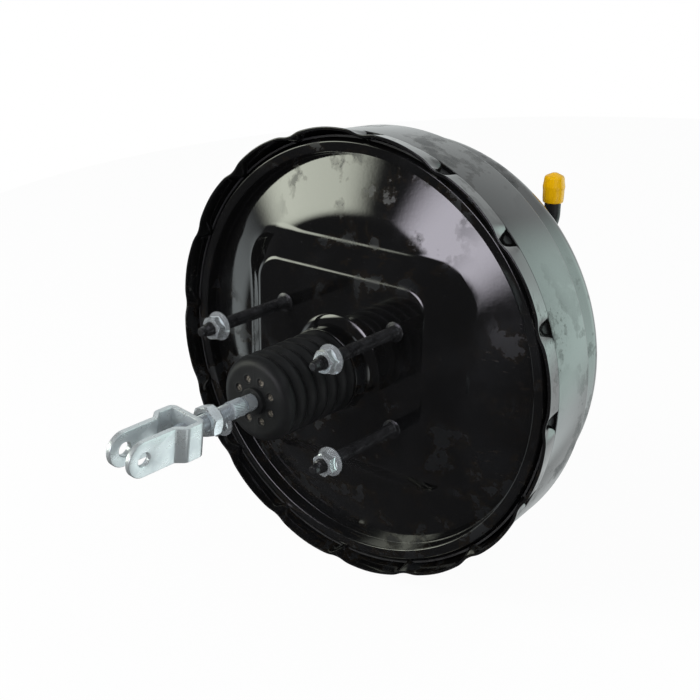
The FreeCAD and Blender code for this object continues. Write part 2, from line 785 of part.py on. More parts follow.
def make_front_shell():
    """Front shell: flared lip, two stepped drums, cone and nose, lanced inward round the lip."""
    line = [
        ("lip_radius", "lip_station"),
        ("band_radius", "band_station"),
        ("drum_radius", "step_station"),
        ("second_radius", "step_station"),
        ("second_radius", "face_station"),
        ("face_inner_radius", "face_station"),
        ("nose_radius", "nose_station"),
        ("nose_bore", "nose_station"),
    ]
    body = turned_sheet("front_shell", line, "shell_wall", {4: "shoulder_bend"})

    band_end = "band_station - slit_height"

    def lance_point(distance, aside):
        """Return a point at a distance out along the lance's ray and a step aside from it."""
        across = f"({distance}) * cos(lance_angle) - ({aside}) * sin(lance_angle)"
        return across, f"({distance}) * sin(lance_angle) + ({aside}) * cos(lance_angle)"

    def lance_wedge(name, station, point):
        """Sketch a wedge that opens outwards from its point, square to the axis."""
        sketch = new_sketch(body, name, "XZ_Plane", f"-({station})")
        crown = f"{point} + 2 * lance_depth"
        half = "lance_slope * 2 * lance_depth"
        closed_outline(sketch, [lance_point(point, "0"), lance_point(crown, f"-{half}"), lance_point(crown, half)])
        return sketch

    def lance_loft(kind, name, wall):
        feature = body.newObject(f"PartDesign::{kind}", name)
        mouth = lance_wedge(f"{name}_mouth", "lip_station - 0.5", f"(lip_radius - lance_depth - {wall})")
        root = lance_wedge(f"{name}_root", band_end, f"(band_radius + lance_run_out - {wall})")
        feature.Profile = (mouth, [""])
        feature.Sections = [(root, [""])]
        document.recompute()
        return feature

    tongue = lance_loft("AdditiveLoft", "lance_tongue", "1.3 * shell_wall")
    dent = lance_loft("SubtractiveLoft", "lance_dent", "0")
    slit_sketch = new_sketch(body, "slit", "XZ_Plane", f"-({band_end})")
    corners = [("band_radius - 2 * shell_wall", "-slit_width / 2"), ("band_radius + 3", "-slit_width / 2")]
    corners += [("band_radius + 3", "slit_width / 2"), ("band_radius - 2 * shell_wall", "slit_width / 2")]
    closed_outline(slit_sketch, [lance_point(distance, aside) for distance, aside in corners])
    slit = pocketed(body, "lance_slit", slit_sketch, "slit_height")
    round_about(body, "lances", [tongue, dent, slit], "lance_count")
    flare = "(lip_radius - band_radius) / (band_station - lip_station)"
    cut_ring(
        body,
        "lance_trim",
        [
            (f"lip_radius + {flare} * 3", "lip_station - 3"),
            ("band_radius", "band_station"),
            ("lip_radius + 20", "band_station"),
            ("lip_radius + 20", "lip_station - 3"),
        ],
    )
    cut_ring(
        body,
        "lip_trim",
        [
            ("drum_radius - 10", "lip_station - 3"),
            ("lip_radius + 3", "lip_station - 3"),
            ("lip_radius + 3", "lip_station"),
            ("drum_radius - 10", "lip_station"),
        ],
    )

    holes = new_sketch(body, "nose_holes_outline", "XZ_Plane", "-(nose_station + 1)")
    for side in ("cylinder_stud_half", "-cylinder_stud_half"):
        circle_at(holes, side, "0", "stud_collar_radius + seat_fit", f"stud_{holes.GeometryCount}")
    pocketed(body, "nose_holes", holes, "shell_wall + 2", reverse=True)
    port = new_sketch(body, "port_outline", "XZ_Plane", "-(face_station + 1)")
    circle_at(port, "port_x", "port_z", "port_hole", "port")
    pocketed(body, "port", port, "shell_wall + 2", reverse=True)
    return body


# Fasteners


def make_firewall_studs():
    """Four studs: head inside the pad, pressed collar outside, thread and pilot point."""
    thread = "stud_radius - thread_step"
    stud = turned_piece(
        "firewall_stud_blank",
        [
            ("0", "shell_wall + stud_head_height"),
            ("stud_head_radius", "shell_wall + stud_head_height"),
            ("stud_head_radius", "shell_wall"),
            ("stud_collar_radius", "shell_wall"),
            ("stud_collar_radius", "0"),
            ("stud_radius", "0"),
            ("stud_radius", "-(nut_station - 0.6)"),
            (thread, "-(nut_station - 0.6)"),
            (thread, "-stud_length"),
            ("stud_pilot_radius", "-stud_length"),
            ("stud_pilot_radius", "-(stud_length + stud_pilot_length)"),
            ("0", "-(stud_length + stud_pilot_length)"),
        ],
        ("stud_half_x", "0", "stud_half_z"),
        exported=False,
    )
    return mirrored_set("firewall_studs", stud, [Vector(1, 0, 0), Vector(0, 0, 1)])


def make_flange_nuts():
    """Four hexagon nuts with a coned flange, run down the studs."""
    body = new_body("flange_nut_blank", ("stud_half_x", "0", "stud_half_z"), exported=False)
    sketch = new_sketch(body, "nut_hexagon", "XZ_Plane", "nut_station")
    hexagon(sketch, "nut_flat")
    padded(body, "nut_hexagon_pad", sketch, "nut_height")
    flange = new_sketch(body, "nut_flange_section")
    closed_outline(
        flange,
        [
            ("0", "-nut_station"),
            ("nut_flange_radius", "-nut_station"),
            ("nut_flange_radius", "-(nut_station + nut_flange_height)"),
            ("nut_flat / 2", "-(nut_station + 2 * nut_flange_height)"),
            ("0", "-(nut_station + 2 * nut_flange_height)"),
        ],
    )
    turned(body, "nut_flange", flange)
    bore = "stud_radius - thread_step + seat_fit"
    cut_ring(body, "nut_bore", bore_corners(bore, "-(nut_station + nut_height + 1)", "-(nut_station - 1)"))
    return mirrored_set("flange_nuts", body, [Vector(1, 0, 0), Vector(0, 0, 1)])


def bore_corners(radius, start, end):
    """Return the section of a round bore from one station to another."""
    return [("0", start), (radius, start), (radius, end), ("0", end)]


def make_reinforcement_plate():
    """Plate inside the nose that spreads the load of the two front studs."""
    body = new_body("front_reinforcement_plate")
    inside = "nose_station - shell_wall"
    sketch = new_sketch(body, "plate_outline", "XZ_Plane", f"-({inside})")
    rounded_rectangle(sketch, "plate_half_width", "plate_half_height", "plate_corner")
    padded(body, "plate", sketch, "plate_thickness")
    cut_ring(body, "plate_bore", bore_corners("nose_bore", f"{inside} - 2 * plate_thickness", f"{inside} + 1"))
    holes = new_sketch(body, "plate_holes_outline", "XZ_Plane", f"-({inside} + 1)")
    for side in ("cylinder_stud_half", "-cylinder_stud_half"):
        circle_at(holes, side, "0", "stud_collar_radius + seat_fit", f"stud_{holes.GeometryCount}")
    pocketed(body, "plate_holes", holes, "plate_thickness + 2", reverse=True)
    return body


def make_cylinder_studs():
    """Two front studs that carry the master cylinder."""
    back = "nose_station - shell_wall - plate_thickness"
    tip = "nose_station + cylinder_stud_length"
    stud = turned_piece(
        "cylinder_stud_blank",
        [
            ("0", f"{back} - stud_head_height"),
            ("stud_head_radius", f"{back} - stud_head_height"),
            ("stud_head_radius", back),
            ("stud_collar_radius", back),
            ("stud_collar_radius", "nose_station"),
            ("stud_radius", "nose_station"),
            ("stud_radius", f"{tip} - 1"),
            ("stud_radius - 1", tip),
            ("0", tip),
        ],
        ("cylinder_stud_half", "0", "0"),
        exported=False,
    )
    return mirrored_set("master_cylinder_studs", stud, [Vector(1, 0, 0)])


# Guides and seals


def make_guides():
    """Bush, lip seal and retaining ring in the neck, and the ring seal in the nose."""
    neck_wall = "neck_radius - shell_wall - seat_fit"
    shoulder = "-(neck_length - shell_wall)"
    seal_end = f"{shoulder} + seal_length"
    turned_piece(
        "rear_tube_seal",
        [
            ("tube_radius + soft_gap", shoulder),
            (neck_wall, shoulder),
            (neck_wall, seal_end),
            ("tube_radius + soft_gap", seal_end),
            ("tube_radius + 4 * soft_gap", f"{seal_end} - seal_length / 2"),
        ],
    )
    bush_end = f"{seal_end} + bush_length"
    turned_piece(
        "rear_guide_bush",
        [
            ("tube_radius + running_fit", seal_end),
            (neck_wall, seal_end),
            (neck_wall, bush_end),
            ("tube_radius + running_fit", bush_end),
        ],
    )
    turned_piece(
        "rear_seal_retainer",
        [
            ("tube_radius + 2 * soft_gap", bush_end),
            (neck_wall, bush_end),
            (neck_wall, f"{bush_end} + retainer_thickness"),
            ("tube_radius + 2 * soft_gap", f"{bush_end} + retainer_thickness"),
        ],
    )
    back = "nose_station - shell_wall - plate_thickness"
    turned_piece(
        "front_seal",
        [
            ("front_seal_bore", f"{back} - front_seal_flange_thickness"),
            ("front_seal_flange", f"{back} - front_seal_flange_thickness"),
            ("front_seal_flange", back),
            ("nose_bore - seat_fit", back),
            ("nose_bore - seat_fit", "nose_station - shell_wall / 2"),
            ("front_seal_bore + 2", "nose_station - shell_wall / 2"),
            ("front_seal_bore", back),
        ],
    )


# Power piston


def make_valve_body():
    """Valve body: rear tube, flange and hub turned in one, bored for the valve and the disc."""
    plate_face = "flange_station + flange_thickness"
    body = turned_piece(
        "valve_body",
        [
            ("tube_bore", "-tube_station"),
            ("tube_radius", "-tube_station"),
            ("tube_radius", "flange_station"),
            ("flange_radius", "flange_station"),
            ("flange_radius", plate_face),
            ("hub_radius", plate_face),
            ("hub_radius", "hub_station"),
            ("disc_radius", "hub_station"),
            ("disc_radius", "disc_station"),
            ("plunger_radius + running_fit", "disc_station"),
            ("plunger_radius + running_fit", "head_depth"),
            ("head_bore", "head_depth"),
            ("head_bore", "0"),
            ("head_bore + 2.5", "0"),
            ("head_bore + 2.5", "valve_gap * 10"),
            ("tube_bore", "valve_gap * 10"),
        ],
    )
    slot = new_sketch(body, "key_slot_outline", "XZ_Plane", "-(key_station + key_thickness + seat_fit)")
    closed_outline(slot, key_corners("key_width / 2 + seat_fit", "hub_radius + 1"))
    pocketed(body, "key_slot", slot, "key_thickness + 2 * seat_fit", reverse=True)
    passage = new_sketch(body, "passage_outline", "XZ_Plane", "-(hub_station + 1)")
    beside = "(hub_radius + disc_radius) / 2 * cos(45)"
    circle_at(passage, beside, beside, "(hub_radius - disc_radius) / 5", "passage")
    hole = pocketed(body, "vacuum_passage", passage, "hub_station + 1 - valve_gap * 9", reverse=True)
    round_about(body, "vacuum_passages", [hole], "4")
    return body


def key_corners(half_width, reach):
    """Return the outline of the stop key, or of its slot, open upwards."""
    low = "-(plunger_radius + 1)"
    return [(f"-({half_width})", low), (half_width, low), (half_width, reach), (f"-({half_width})", reach)]


def make_stop_key():
    """Forked key that holds the plunger in the valve body."""
    body = new_body("stop_key")
    front = "key_station + key_thickness"
    sketch = new_sketch(body, "key_outline", "XZ_Plane", f"-({front})")
    closed_outline(sketch, key_corners("key_width / 2", "hub_radius - 0.5"))
    padded(body, "key", sketch, "key_thickness")
    fork = new_sketch(body, "fork_outline", "XZ_Plane", f"-({front} + 1)")
    gap = "plunger_neck_radius + soft_gap"
    low = "-(plunger_radius + 2)"
    closed_outline(fork, [(f"-({gap})", low), (gap, low), (gap, "0"), (f"-({gap})", "0")])
    pocketed(body, "fork", fork, "key_thickness + 2", reverse=True)
    cut_ring(body, "fork_end", bore_corners(gap, "key_station - 1", f"{front} + 1"))
    return body


def make_support_plate():
    """Dished steel plate that backs the diaphragm."""
    face = "flange_station + flange_thickness"
    line = [
        ("hub_radius + seat_fit", face),
        ("support_inner", face),
        ("support_knee", "support_knee_station"),
        ("support_radius", "support_station"),
        ("support_radius", "support_station + support_flange"),
    ]
    return turned_sheet("diaphragm_support_plate", line, "support_wall")


def make_diaphragm():
    """Rolling diaphragm from the flange of the valve body to its bead in the rim."""
    gap = "(diaphragm_thickness + soft_gap)"
    inner_face = f"flange_station + flange_thickness - {gap}"
    line = [
        ("flange_radius + soft_gap", inner_face),
        ("support_inner", inner_face),
        ("support_knee", f"support_knee_station - 1.2 * {gap}"),
        (f"support_radius + {gap}", f"support_station - 1.2 * {gap}"),
        (f"support_radius + {gap}", "diaphragm_crest"),
        ("groove_radius", "diaphragm_crest"),
        ("groove_radius", "groove_station + 2 * shell_wall + soft_gap"),
        ("skirt_radius", "groove_station + 2 * shell_wall + soft_gap"),
    ]
    body = turned_sheet("diaphragm", line, "diaphragm_thickness")
    bead = new_sketch(body, "bead_section")
    low = "rim_station + shell_wall"
    high = "groove_station + 2 * shell_wall + soft_gap + diaphragm_thickness"
    closed_outline(
        bead,
        [
            ("skirt_radius + soft_gap / 2", low),
            ("skirt_radius + soft_gap / 2 + diaphragm_bead * 0.6", low),
            ("skirt_radius + soft_gap / 2 + diaphragm_bead * 0.6", "groove_station"),
            ("skirt_radius + soft_gap / 2 + diaphragm_bead * 0.3", high),
            ("skirt_radius - 1", high),
            ("skirt_radius - 1", "groove_station + 2 * shell_wall + soft_gap"),
            ("skirt_radius + soft_gap / 2", "groove_station + 2 * shell_wall + soft_gap"),
        ],
    )
    turned(body, "bead", bead)
    return body


def make_output_parts():
    """Reaction disc, output rod with its screw, and the cover that keeps them in the hub."""
    turned_piece("reaction_disc", [
        ("0", "disc_station"),
        ("disc_radius - running_fit", "disc_station"),
        ("disc_radius - running_fit", "disc_station + disc_thickness"),
        ("0", "disc_station + disc_thickness"),
    ])
    foot = "disc_station + disc_thickness"
    turned_piece("output_rod", [
        ("0", foot),
        ("disc_radius - running_fit", foot),
        ("disc_radius - running_fit", f"{foot} + output_head_thickness"),
        ("output_rod_radius", f"{foot} + output_head_thickness"),
        ("output_rod_radius", "output_rod_station"),
        ("screw_radius + seat_fit", "output_rod_station"),
        ("screw_radius + seat_fit", "output_rod_station - screw_depth - 1"),
        ("0", "output_rod_station - screw_depth - 1"),
    ])
    screw = new_body("output_rod_screw")
    head = new_sketch(screw, "screw_hexagon", "XZ_Plane", "-output_rod_station")
    hexagon(head, "screw_flat")
    padded(screw, "screw_head_pad", head, "screw_head", reverse=True)
    shank = new_sketch(screw, "screw_shank_section")
    closed_outline(shank, bore_corners("screw_radius", "output_rod_station - screw_depth", "output_rod_station + 1"))
    turned(screw, "screw_shank", shank)
    line = [
        ("output_rod_radius + soft_gap", "hub_station"),
        ("hub_radius + seat_fit", "hub_station"),
        ("hub_radius + seat_fit", "hub_station - cover_skirt"),
    ]
    turned_sheet("output_rod_cover", line, "cover_wall")


# Control valve and push rod


def ball(body, kind, name, radius):
    """Add or cut the ball of the push rod's end."""
    feature = body.newObject(f"PartDesign::{kind}", name)
    feature.AttachmentSupport = [(origin_item(body, "XY_Plane"), "")]
    feature.MapMode = "FlatFace"
    feature.setExpression("AttachmentOffset.Base.y", bound("ball_station"))
    feature.setExpression("Radius", bound(radius))
    document.recompute()
    return feature


def make_plunger():
    """Valve plunger: nose, key groove and headed socket that holds the rod's ball."""
    front = "disc_station - valve_stroke - soft_gap"
    head_end = "head_depth - valve_stroke - soft_gap"
    mouth = "rod_neck_radius + 2.4 * soft_gap"
    body = turned_piece("valve_plunger", [
        ("0", "-valve_gap"),
        ("plunger_head_radius", "-valve_gap"),
        ("plunger_head_radius", head_end),
        ("plunger_radius", head_end),
        ("plunger_radius", "key_station - valve_stroke - soft_gap"),
        ("plunger_neck_radius", "key_station - valve_stroke - soft_gap"),
        ("plunger_neck_radius", "key_station + key_thickness + soft_gap"),
        ("plunger_radius", "key_station + key_thickness + soft_gap"),
        ("plunger_radius", front),
        ("0", front),
    ])
    ball(body, "SubtractiveSphere", "ball_socket", "ball_radius + running_fit")
    cut_ring(body, "socket_mouth", bore_corners(mouth, "-1", "ball_station - ball_radius / 2"))
    return body


def make_push_rod():
    """Push rod: ball, neck, shank, knurled band and threaded end."""
    knurl_end = "-(knurl_station + knurl_length)"
    body = turned_piece("push_rod", [
        ("0", "ball_station"),
        ("rod_neck_radius", "ball_station"),
        ("rod_neck_radius", "-(rod_shoulder_station - 2)"),
        ("rod_radius", "-rod_shoulder_station"),
        ("rod_radius", "-knurl_station"),
        ("knurl_radius", "-(knurl_station + 0.6)"),
        ("knurl_radius", f"{knurl_end} + 0.6"),
        ("rod_radius", knurl_end),
        ("rod_radius", "-(rod_end_station - 1)"),
        ("rod_radius - 1", "-rod_end_station"),
        ("0", "-rod_end_station"),
    ])
    ball(body, "AdditiveSphere", "ball_end", "ball_radius")
    return body


def make_lock_nut():
    """Hexagon lock nut on the rod's thread."""
    body = new_body("rod_lock_nut")
    sketch = new_sketch(body, "lock_nut_hexagon", "XZ_Plane", "lock_nut_station")
    hexagon(sketch, "lock_nut_flat")
    padded(body, "lock_nut", sketch, "lock_nut_height")
    start = "-(lock_nut_station + lock_nut_height + 1)"
    cut_ring(body, "lock_nut_bore", bore_corners("rod_radius + seat_fit", start, "-(lock_nut_station - 1)"))
    return body


def make_clevis():
    """Clevis folded from strip: bridge, joggled ears with round ends, pin bore."""
    body = new_body("clevis")
    tip = "-(pin_station + ear_radius)"
    joggle = "-(clevis_station + clevis_joggle)"
    narrow = "-(clevis_station + clevis_joggle + clevis_joggle_length)"
    right = [
        ("clevis_half", tip),
        ("clevis_half", narrow),
        ("clevis_wide", joggle),
        ("clevis_wide", "-clevis_station"),
    ]
    left = [(f"-{x}", y) for x, y in reversed(right)]
    sketch = new_sketch(body, "strip_section")
    wall_outline(sketch, right + left, "clevis_wall", {corner: "clevis_bend" for corner in range(1, 7)})
    padded(body, "strip", sketch, "2 * ear_radius", both_ways=True)
    end = size_of(tip)
    tips = [
        f"Edge{number}"
        for number, edge in enumerate(body.Tip.Shape.Edges, start=1)
        if all(abs(vertex.Point.y - end) < 0.001 for vertex in edge.Vertexes)
        and abs(edge.Vertexes[0].Point.z - edge.Vertexes[-1].Point.z) < 0.001
    ]
    round_edges(body, "ear_ends", tips, "ear_radius - 0.1")
    pin = new_sketch(body, "pin_outline", "YZ_Plane")
    circle_at(pin, "-pin_station", "0", "pin_bore", "pin")
    pocketed(body, "pin_hole", pin, both_ways=True)
    cut_ring(
        body,
        "rod_bore",
        bore_corners("rod_radius + seat_fit", "-(clevis_station + 2 * clevis_wall)", "-(clevis_station - 1)"),
    )
    body.Placement = Placement(Vector(0, 0, 0), Rotation(Vector(0, 1, 0), size_of("clevis_turn")))
    document.recompute()
    return body


def make_poppet():
    """Rubber poppet, its cup and spring, and the rod's return spring on its seat."""
    face = "-(valve_gap + running_fit)"
    back = "-(cup_station - cup_wall)"
    skin = "poppet_radius - poppet_bead"
    turned_piece("poppet_valve", [
        ("poppet_bore", face),
        ("poppet_radius", face),
        ("poppet_radius", f"{back} + poppet_bead"),
        ("tube_bore - cup_wall - 2 * seat_fit", f"{back} + poppet_bead"),
        ("tube_bore - cup_wall - 2 * seat_fit", back),
        (skin, back),
        (skin, f"{face} - poppet_face"),
        ("poppet_bore", f"{face} - poppet_face"),
    ])
    turned_sheet("poppet_cup", [
        ("cup_bore", "-cup_station"),
        ("tube_bore - seat_fit", "-cup_station"),
        ("tube_bore - seat_fit", "-cup_station / 2"),
    ], "cup_wall")
    spring_sleeve("poppet_spring", back, f"{face} - poppet_face", "poppet_spring_radius", "poppet_wire")
    turned_piece("rod_spring_seat", [
        ("rod_radius + seat_fit", "-(seat_station)"),
        ("seat_radius", "-(seat_station)"),
        ("seat_radius", "-(seat_station - seat_thickness)"),
        ("rod_radius + seat_fit", "-(seat_station - seat_thickness)"),
    ])
    start = "-(seat_station - seat_thickness)"
    spring_sleeve("rod_return_spring", start, "-cup_station", "rod_spring_radius", "rod_wire")


def make_filters():
    """Foam filter and felt silencer in the rear tube."""
    wall = "tube_bore - soft_gap / 2"
    front = "-(tube_station - filter_length)"
    for label, start, end in (
        ("air_filter", "-tube_station", front),
        ("silencer_felt", front, f"{front} + felt_length"),
    ):
        turned_piece(label, [("filter_bore", start), (wall, start), (wall, end), ("filter_bore", end)])


def make_dust_boot():
    """Bellows from the neck's step to the vented end, with a collar on the rod."""
    face = "-boot_end_station"
    folds = [
        ("boot_collar_radius", f"{face} - boot_collar_length"),
        ("boot_collar_radius", face),
        ("boot_end_radius - 2", face),
        ("boot_end_radius", f"{face} + 1.4"),
    ]
    last = "boot_first_crest + 5 * boot_pitch"
    folds.append(("boot_crest", f"-({last})"))
    for fold in range(4, -1, -1):
        folds.append(("boot_valley", f"-(boot_first_crest + {fold + 0.5} * boot_pitch)"))
        folds.append(("boot_crest", f"-(boot_first_crest + {fold} * boot_pitch)"))
    collar = "neck_step_radius + seat_fit"
    step = "-(neck_length + neck_step_length)"
    outside = folds + [
        (f"{collar} + boot_wall / 2", "-(neck_length + 3)"),
        ("boot_crest", "-(neck_length + 1.6)"),
        ("boot_crest", "-(neck_length + seat_fit)"),
    ]
    inside = [
        (collar, "-(neck_length + seat_fit)"),
        (collar, step),
        ("boot_valley - boot_wall", step),
        ("boot_valley - boot_wall", f"{face} + boot_wall"),
        ("rod_radius + soft_gap", f"{face} + boot_wall"),
        ("rod_radius + soft_gap", f"{face} - boot_collar_length"),
    ]
    body = turned_piece("dust_boot", outside + inside)
    vent = new_sketch(body, "vent_outline", "XZ_Plane", "boot_end_station - boot_wall - 1")
    angle = "180 / vent_count"
    circle_at(vent, f"vent_circle * cos({angle})", f"vent_circle * sin({angle})", "vent_radius", "vent")
    hole = pocketed(body, "vent", vent, "boot_wall + 2", reverse=True)
    round_about(body, "vents", [hole], "vent_count")
    return body


def make_return_spring():
    """Main return spring between the support plate and the nose."""
    start = "flange_station + flange_thickness + support_wall + 1.1 * spring_wire"
    end = "nose_station - shell_wall - plate_thickness - 1.1 * spring_wire"
    return coil_spring("piston_return_spring", start, end, "spring_turns", "spring_radius", "spring_wire")


# Check valve, elbow and cap


def make_check_valve():
    """Grommet, valve housing, disc, spring and the elbow with its nipple."""
    place = ("port_x", "0", "port_z")
    outside = "face_station"
    inside = "face_station - shell_wall"
    turned_piece("vacuum_grommet", [
        ("barb_radius + seat_fit", f"{inside} - grommet_flange"),
        ("port_hole + 1.5", f"{inside} - grommet_flange"),
        ("port_hole + 2.5", inside),
        ("port_hole - seat_fit", inside),
        ("port_hole - seat_fit", outside),
        ("grommet_radius", outside),
        ("grommet_radius", f"{outside} + grommet_flange"),
        ("barb_radius + seat_fit", f"{outside} + grommet_flange"),
    ], place)
    base = "face_station + grommet_flange"
    seat = f"{base} + valve_body_wall"
    lid = f"{base} + valve_body_length"
    turned_piece("check_valve_housing", [
        ("check_inlet", f"{inside} - grommet_flange - 2"),
        ("barb_radius - 0.8", f"{inside} - grommet_flange - 2"),
        ("barb_radius", f"{inside} - grommet_flange"),
        ("barb_radius", base),
        ("valve_body_radius", base),
        ("valve_body_radius", lid),
        ("valve_body_radius - valve_body_wall", lid),
        ("valve_body_radius - valve_body_wall", seat),
        ("check_inlet", seat),
    ], place)
    turned_piece("check_valve_disc", [
        ("0", seat),
        ("check_radius", seat),
        ("check_radius", f"{seat} + check_thickness"),
        ("0", f"{seat} + check_thickness"),
    ], place)
    start = f"{seat} + check_thickness"
    spring_sleeve("check_valve_spring", start, lid, "check_spring_radius", "check_wire", place)
    make_elbow(place, lid)


def make_elbow(place, lid):
    """Elbow swept along a bent path from the housing's lid to the nipple."""
    body = new_body("vacuum_elbow", place)
    bend_start = "elbow_station - elbow_bend"
    path = new_sketch(body, "elbow_path", "YZ_Plane")
    start = size_of(lid)
    tangent = size_of(bend_start)
    bend = size_of("elbow_bend")
    top = size_of("nipple_height")
    path.addGeometry(Part.LineSegment(Vector(start, 0, 0), Vector(tangent, 0, 0)), False)
    circle = Part.Circle(Vector(tangent, bend, 0), Vector(0, 0, 1), bend)
    path.addGeometry(Part.ArcOfCircle(circle, -math.pi / 2, 0), False)
    path.addGeometry(Part.LineSegment(Vector(tangent + bend, bend, 0), Vector(tangent + bend, top, 0)), False)
    path.addConstraint(Sketcher.Constraint("Horizontal", 0))
    path.addConstraint(Sketcher.Constraint("Tangent", 0, 2, 1, 1))
    path.addConstraint(Sketcher.Constraint("Tangent", 1, 2, 2, 1))
    path.addConstraint(Sketcher.Constraint("Vertical", 2))
    pin_point(path, 0, 1, (lid, "0"), "start")
    pin_point(path, 2, 2, ("elbow_station", "nipple_height"), "end")
    number = path.addConstraint(Sketcher.Constraint("Radius", 1, bend))
    path.renameConstraint(number, "bend")
    path.setExpression("Constraints.bend", bound("elbow_bend"))

    cover = new_sketch(body, "lid_section")
    closed_outline(cover, bore_corners("valve_body_radius", lid, f"{lid} + valve_body_wall"))
    turned(body, "lid", cover)
    for kind, name, radius in (
        ("AdditivePipe", "pipe", "elbow_radius"),
        ("SubtractivePipe", "pipe_bore", "elbow_bore"),
    ):
        if name == "pipe_bore":
            bead = new_sketch(body, "bead_outline", "XZ_Plane", "-elbow_station")
            base = "nipple_height - nipple_bead_length"
            sides = [("0", base), ("nipple_bead", base), ("nipple_bead", "nipple_height"), ("0", "nipple_height")]
            closed_outline(bead, sides)
            turned(body, "nipple_bead", bead)
        outline = new_sketch(body, f"{name}_outline", "XZ_Plane", f"-({lid})")
        circle_at(outline, "0", "0", radius, name)
        feature = body.newObject(f"PartDesign::{kind}", name)
        feature.Profile = (outline, [""])
        feature.Spine = (path, ["Edge1", "Edge2", "Edge3"])
        document.recompute()
    return body


def make_cap():
    """Soft cap pushed over the nipple."""
    inside = "nipple_bead + running_fit"
    top = "cap_bottom + cap_height"
    return turned_piece("vacuum_cap", [
        (inside, "cap_bottom"),
        ("cap_radius", "cap_bottom"),
        ("cap_radius", f"{top} - 1"),
        ("cap_radius - 1", top),
        ("0", top),
        ("0", f"{top} - cap_top_wall"),
        (inside, f"{top} - cap_top_wall"),
    ], ("port_x", "elbow_station", "port_z"), role="XZ_Plane")


def make_all():
    """Build every piece in turn."""
    make_rear_shell()
    make_front_shell()
    make_firewall_studs()
    make_flange_nuts()
    make_reinforcement_plate()
    make_cylinder_studs()
    make_guides()
    make_valve_body()
    make_stop_key()
    make_support_plate()
    make_diaphragm()
    make_output_parts()
    make_plunger()
    make_push_rod()
    make_lock_nut()
    make_clevis()
    make_poppet()
    make_filters()
    make_dust_boot()
    make_return_spring()
    make_check_valve()
    make_cap()


make_all()
document.recompute()
for item in document.Objects:
    if "Invalid" in item.State or "Error" in item.State:
        raise RuntimeError(f"{item.Name} failed: {item.State}")
for node in nodes:
    if node.Shape.isNull() or not node.Shape.isValid():
        raise RuntimeError(f"{node.Label} has no valid shape")
os.makedirs("parts", exist_ok=True)
for node in nodes:
    node.Shape.exportStep(f"parts/{node.Label}.step")
    box = node.Shape.BoundBox
    print(node.Label, len(node.Shape.Solids), round(node.Shape.Volume, 1), box)
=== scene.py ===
"""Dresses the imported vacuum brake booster: gloss black shells, bellows boot, plated rod and fork."""

import logging
import math
from dataclasses import dataclass
from enum import Enum
from typing import Any

import bmesh
import bpy
import numpy as np
from mathutils import Matrix, Vector


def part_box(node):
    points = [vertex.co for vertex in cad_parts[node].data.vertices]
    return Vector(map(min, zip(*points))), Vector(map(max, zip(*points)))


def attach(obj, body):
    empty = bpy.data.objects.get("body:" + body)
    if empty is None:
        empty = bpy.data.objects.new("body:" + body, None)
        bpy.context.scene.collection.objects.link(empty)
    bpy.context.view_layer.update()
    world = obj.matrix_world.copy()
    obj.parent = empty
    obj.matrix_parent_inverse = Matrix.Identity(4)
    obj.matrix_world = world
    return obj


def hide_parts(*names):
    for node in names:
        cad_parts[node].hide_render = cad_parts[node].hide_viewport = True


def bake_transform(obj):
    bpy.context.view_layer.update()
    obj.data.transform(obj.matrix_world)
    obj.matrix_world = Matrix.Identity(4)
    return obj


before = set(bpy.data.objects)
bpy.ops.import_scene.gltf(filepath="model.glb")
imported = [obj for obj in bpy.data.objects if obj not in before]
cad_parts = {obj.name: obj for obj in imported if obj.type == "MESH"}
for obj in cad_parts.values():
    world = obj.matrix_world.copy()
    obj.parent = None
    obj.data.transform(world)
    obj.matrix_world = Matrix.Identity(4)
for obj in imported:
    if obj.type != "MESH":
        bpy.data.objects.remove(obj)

Array = np.ndarray
Pair = tuple[float, float]

MM = 0.001
TURN = 2 * math.pi
TINY = 1e-6
WELD = 2e-7
NEARLY_STRAIGHT = 0.9999
log = logging.getLogger("brake_booster")


# Surfaces


class Axis(Enum):
    """The line that a turned surface goes round."""

    Y = 1
    Z = 2


@dataclass
class Grid:
    """A surface as closed rows of points in millimetres, with one mark for each point."""

    points: Array
    wrap_rows: bool = True
    mark: Array | float = 0.0

    def quads(self) -> Array:
        """Joins each point to the next in its row and in the next row.

        Returns:
            Four point numbers for each face.
        """
        rows, columns = self.points.shape[:2]
        row = np.arange(rows if self.wrap_rows else rows - 1)[:, None]
        column = np.arange(columns)[None, :]
        below = (row + 1) % rows
        beside = (column + 1) % columns
        corners = [
            row * columns + column,
            row * columns + beside,
            below * columns + beside,
            below * columns + column,
        ]
        return np.stack(np.broadcast_arrays(*corners), axis=-1).reshape(-1, 4)


def smooth_min(a: Array, b: Array, blend: float) -> Array:
    """Blends two heights: the lower one, rounded where they differ by less than blend."""
    share = np.clip(0.5 + 0.5 * (b - a) / blend, 0, 1)
    return b * (1 - share) + a * share - blend * share * (1 - share)


def smooth_max(a: Array, b: Array, blend: float) -> Array:
    """Blends two heights: the higher one, rounded where they differ by less than blend."""
    return -smooth_min(-np.asarray(a), -np.asarray(b), blend)


def smooth_step(low: float, high: float, value: Array) -> Array:
    """Rises from 0 at low to 1 at high as 3t^2 - 2t^3."""
    t = np.clip((value - low) / (high - low), 0, 1)
    return t * t * (3 - 2 * t)


def unit(vectors: Array) -> Array:
    """Divides vectors by their lengths."""
    return vectors / np.linalg.norm(vectors, axis=-1, keepdims=True)


def full_turn(columns: int) -> Array:
    """Returns evenly spaced angles round one turn, as one row."""
    return np.linspace(0, TURN, columns, endpoint=False)[None, :]


def spun(radius: Array, station: Array, angle: Array) -> Array:
    """Returns points about Y, (r cos a, station, r sin a), for arrays that fit together."""
    return np.stack(np.broadcast_arrays(radius * np.cos(angle), station, radius * np.sin(angle)), axis=-1)


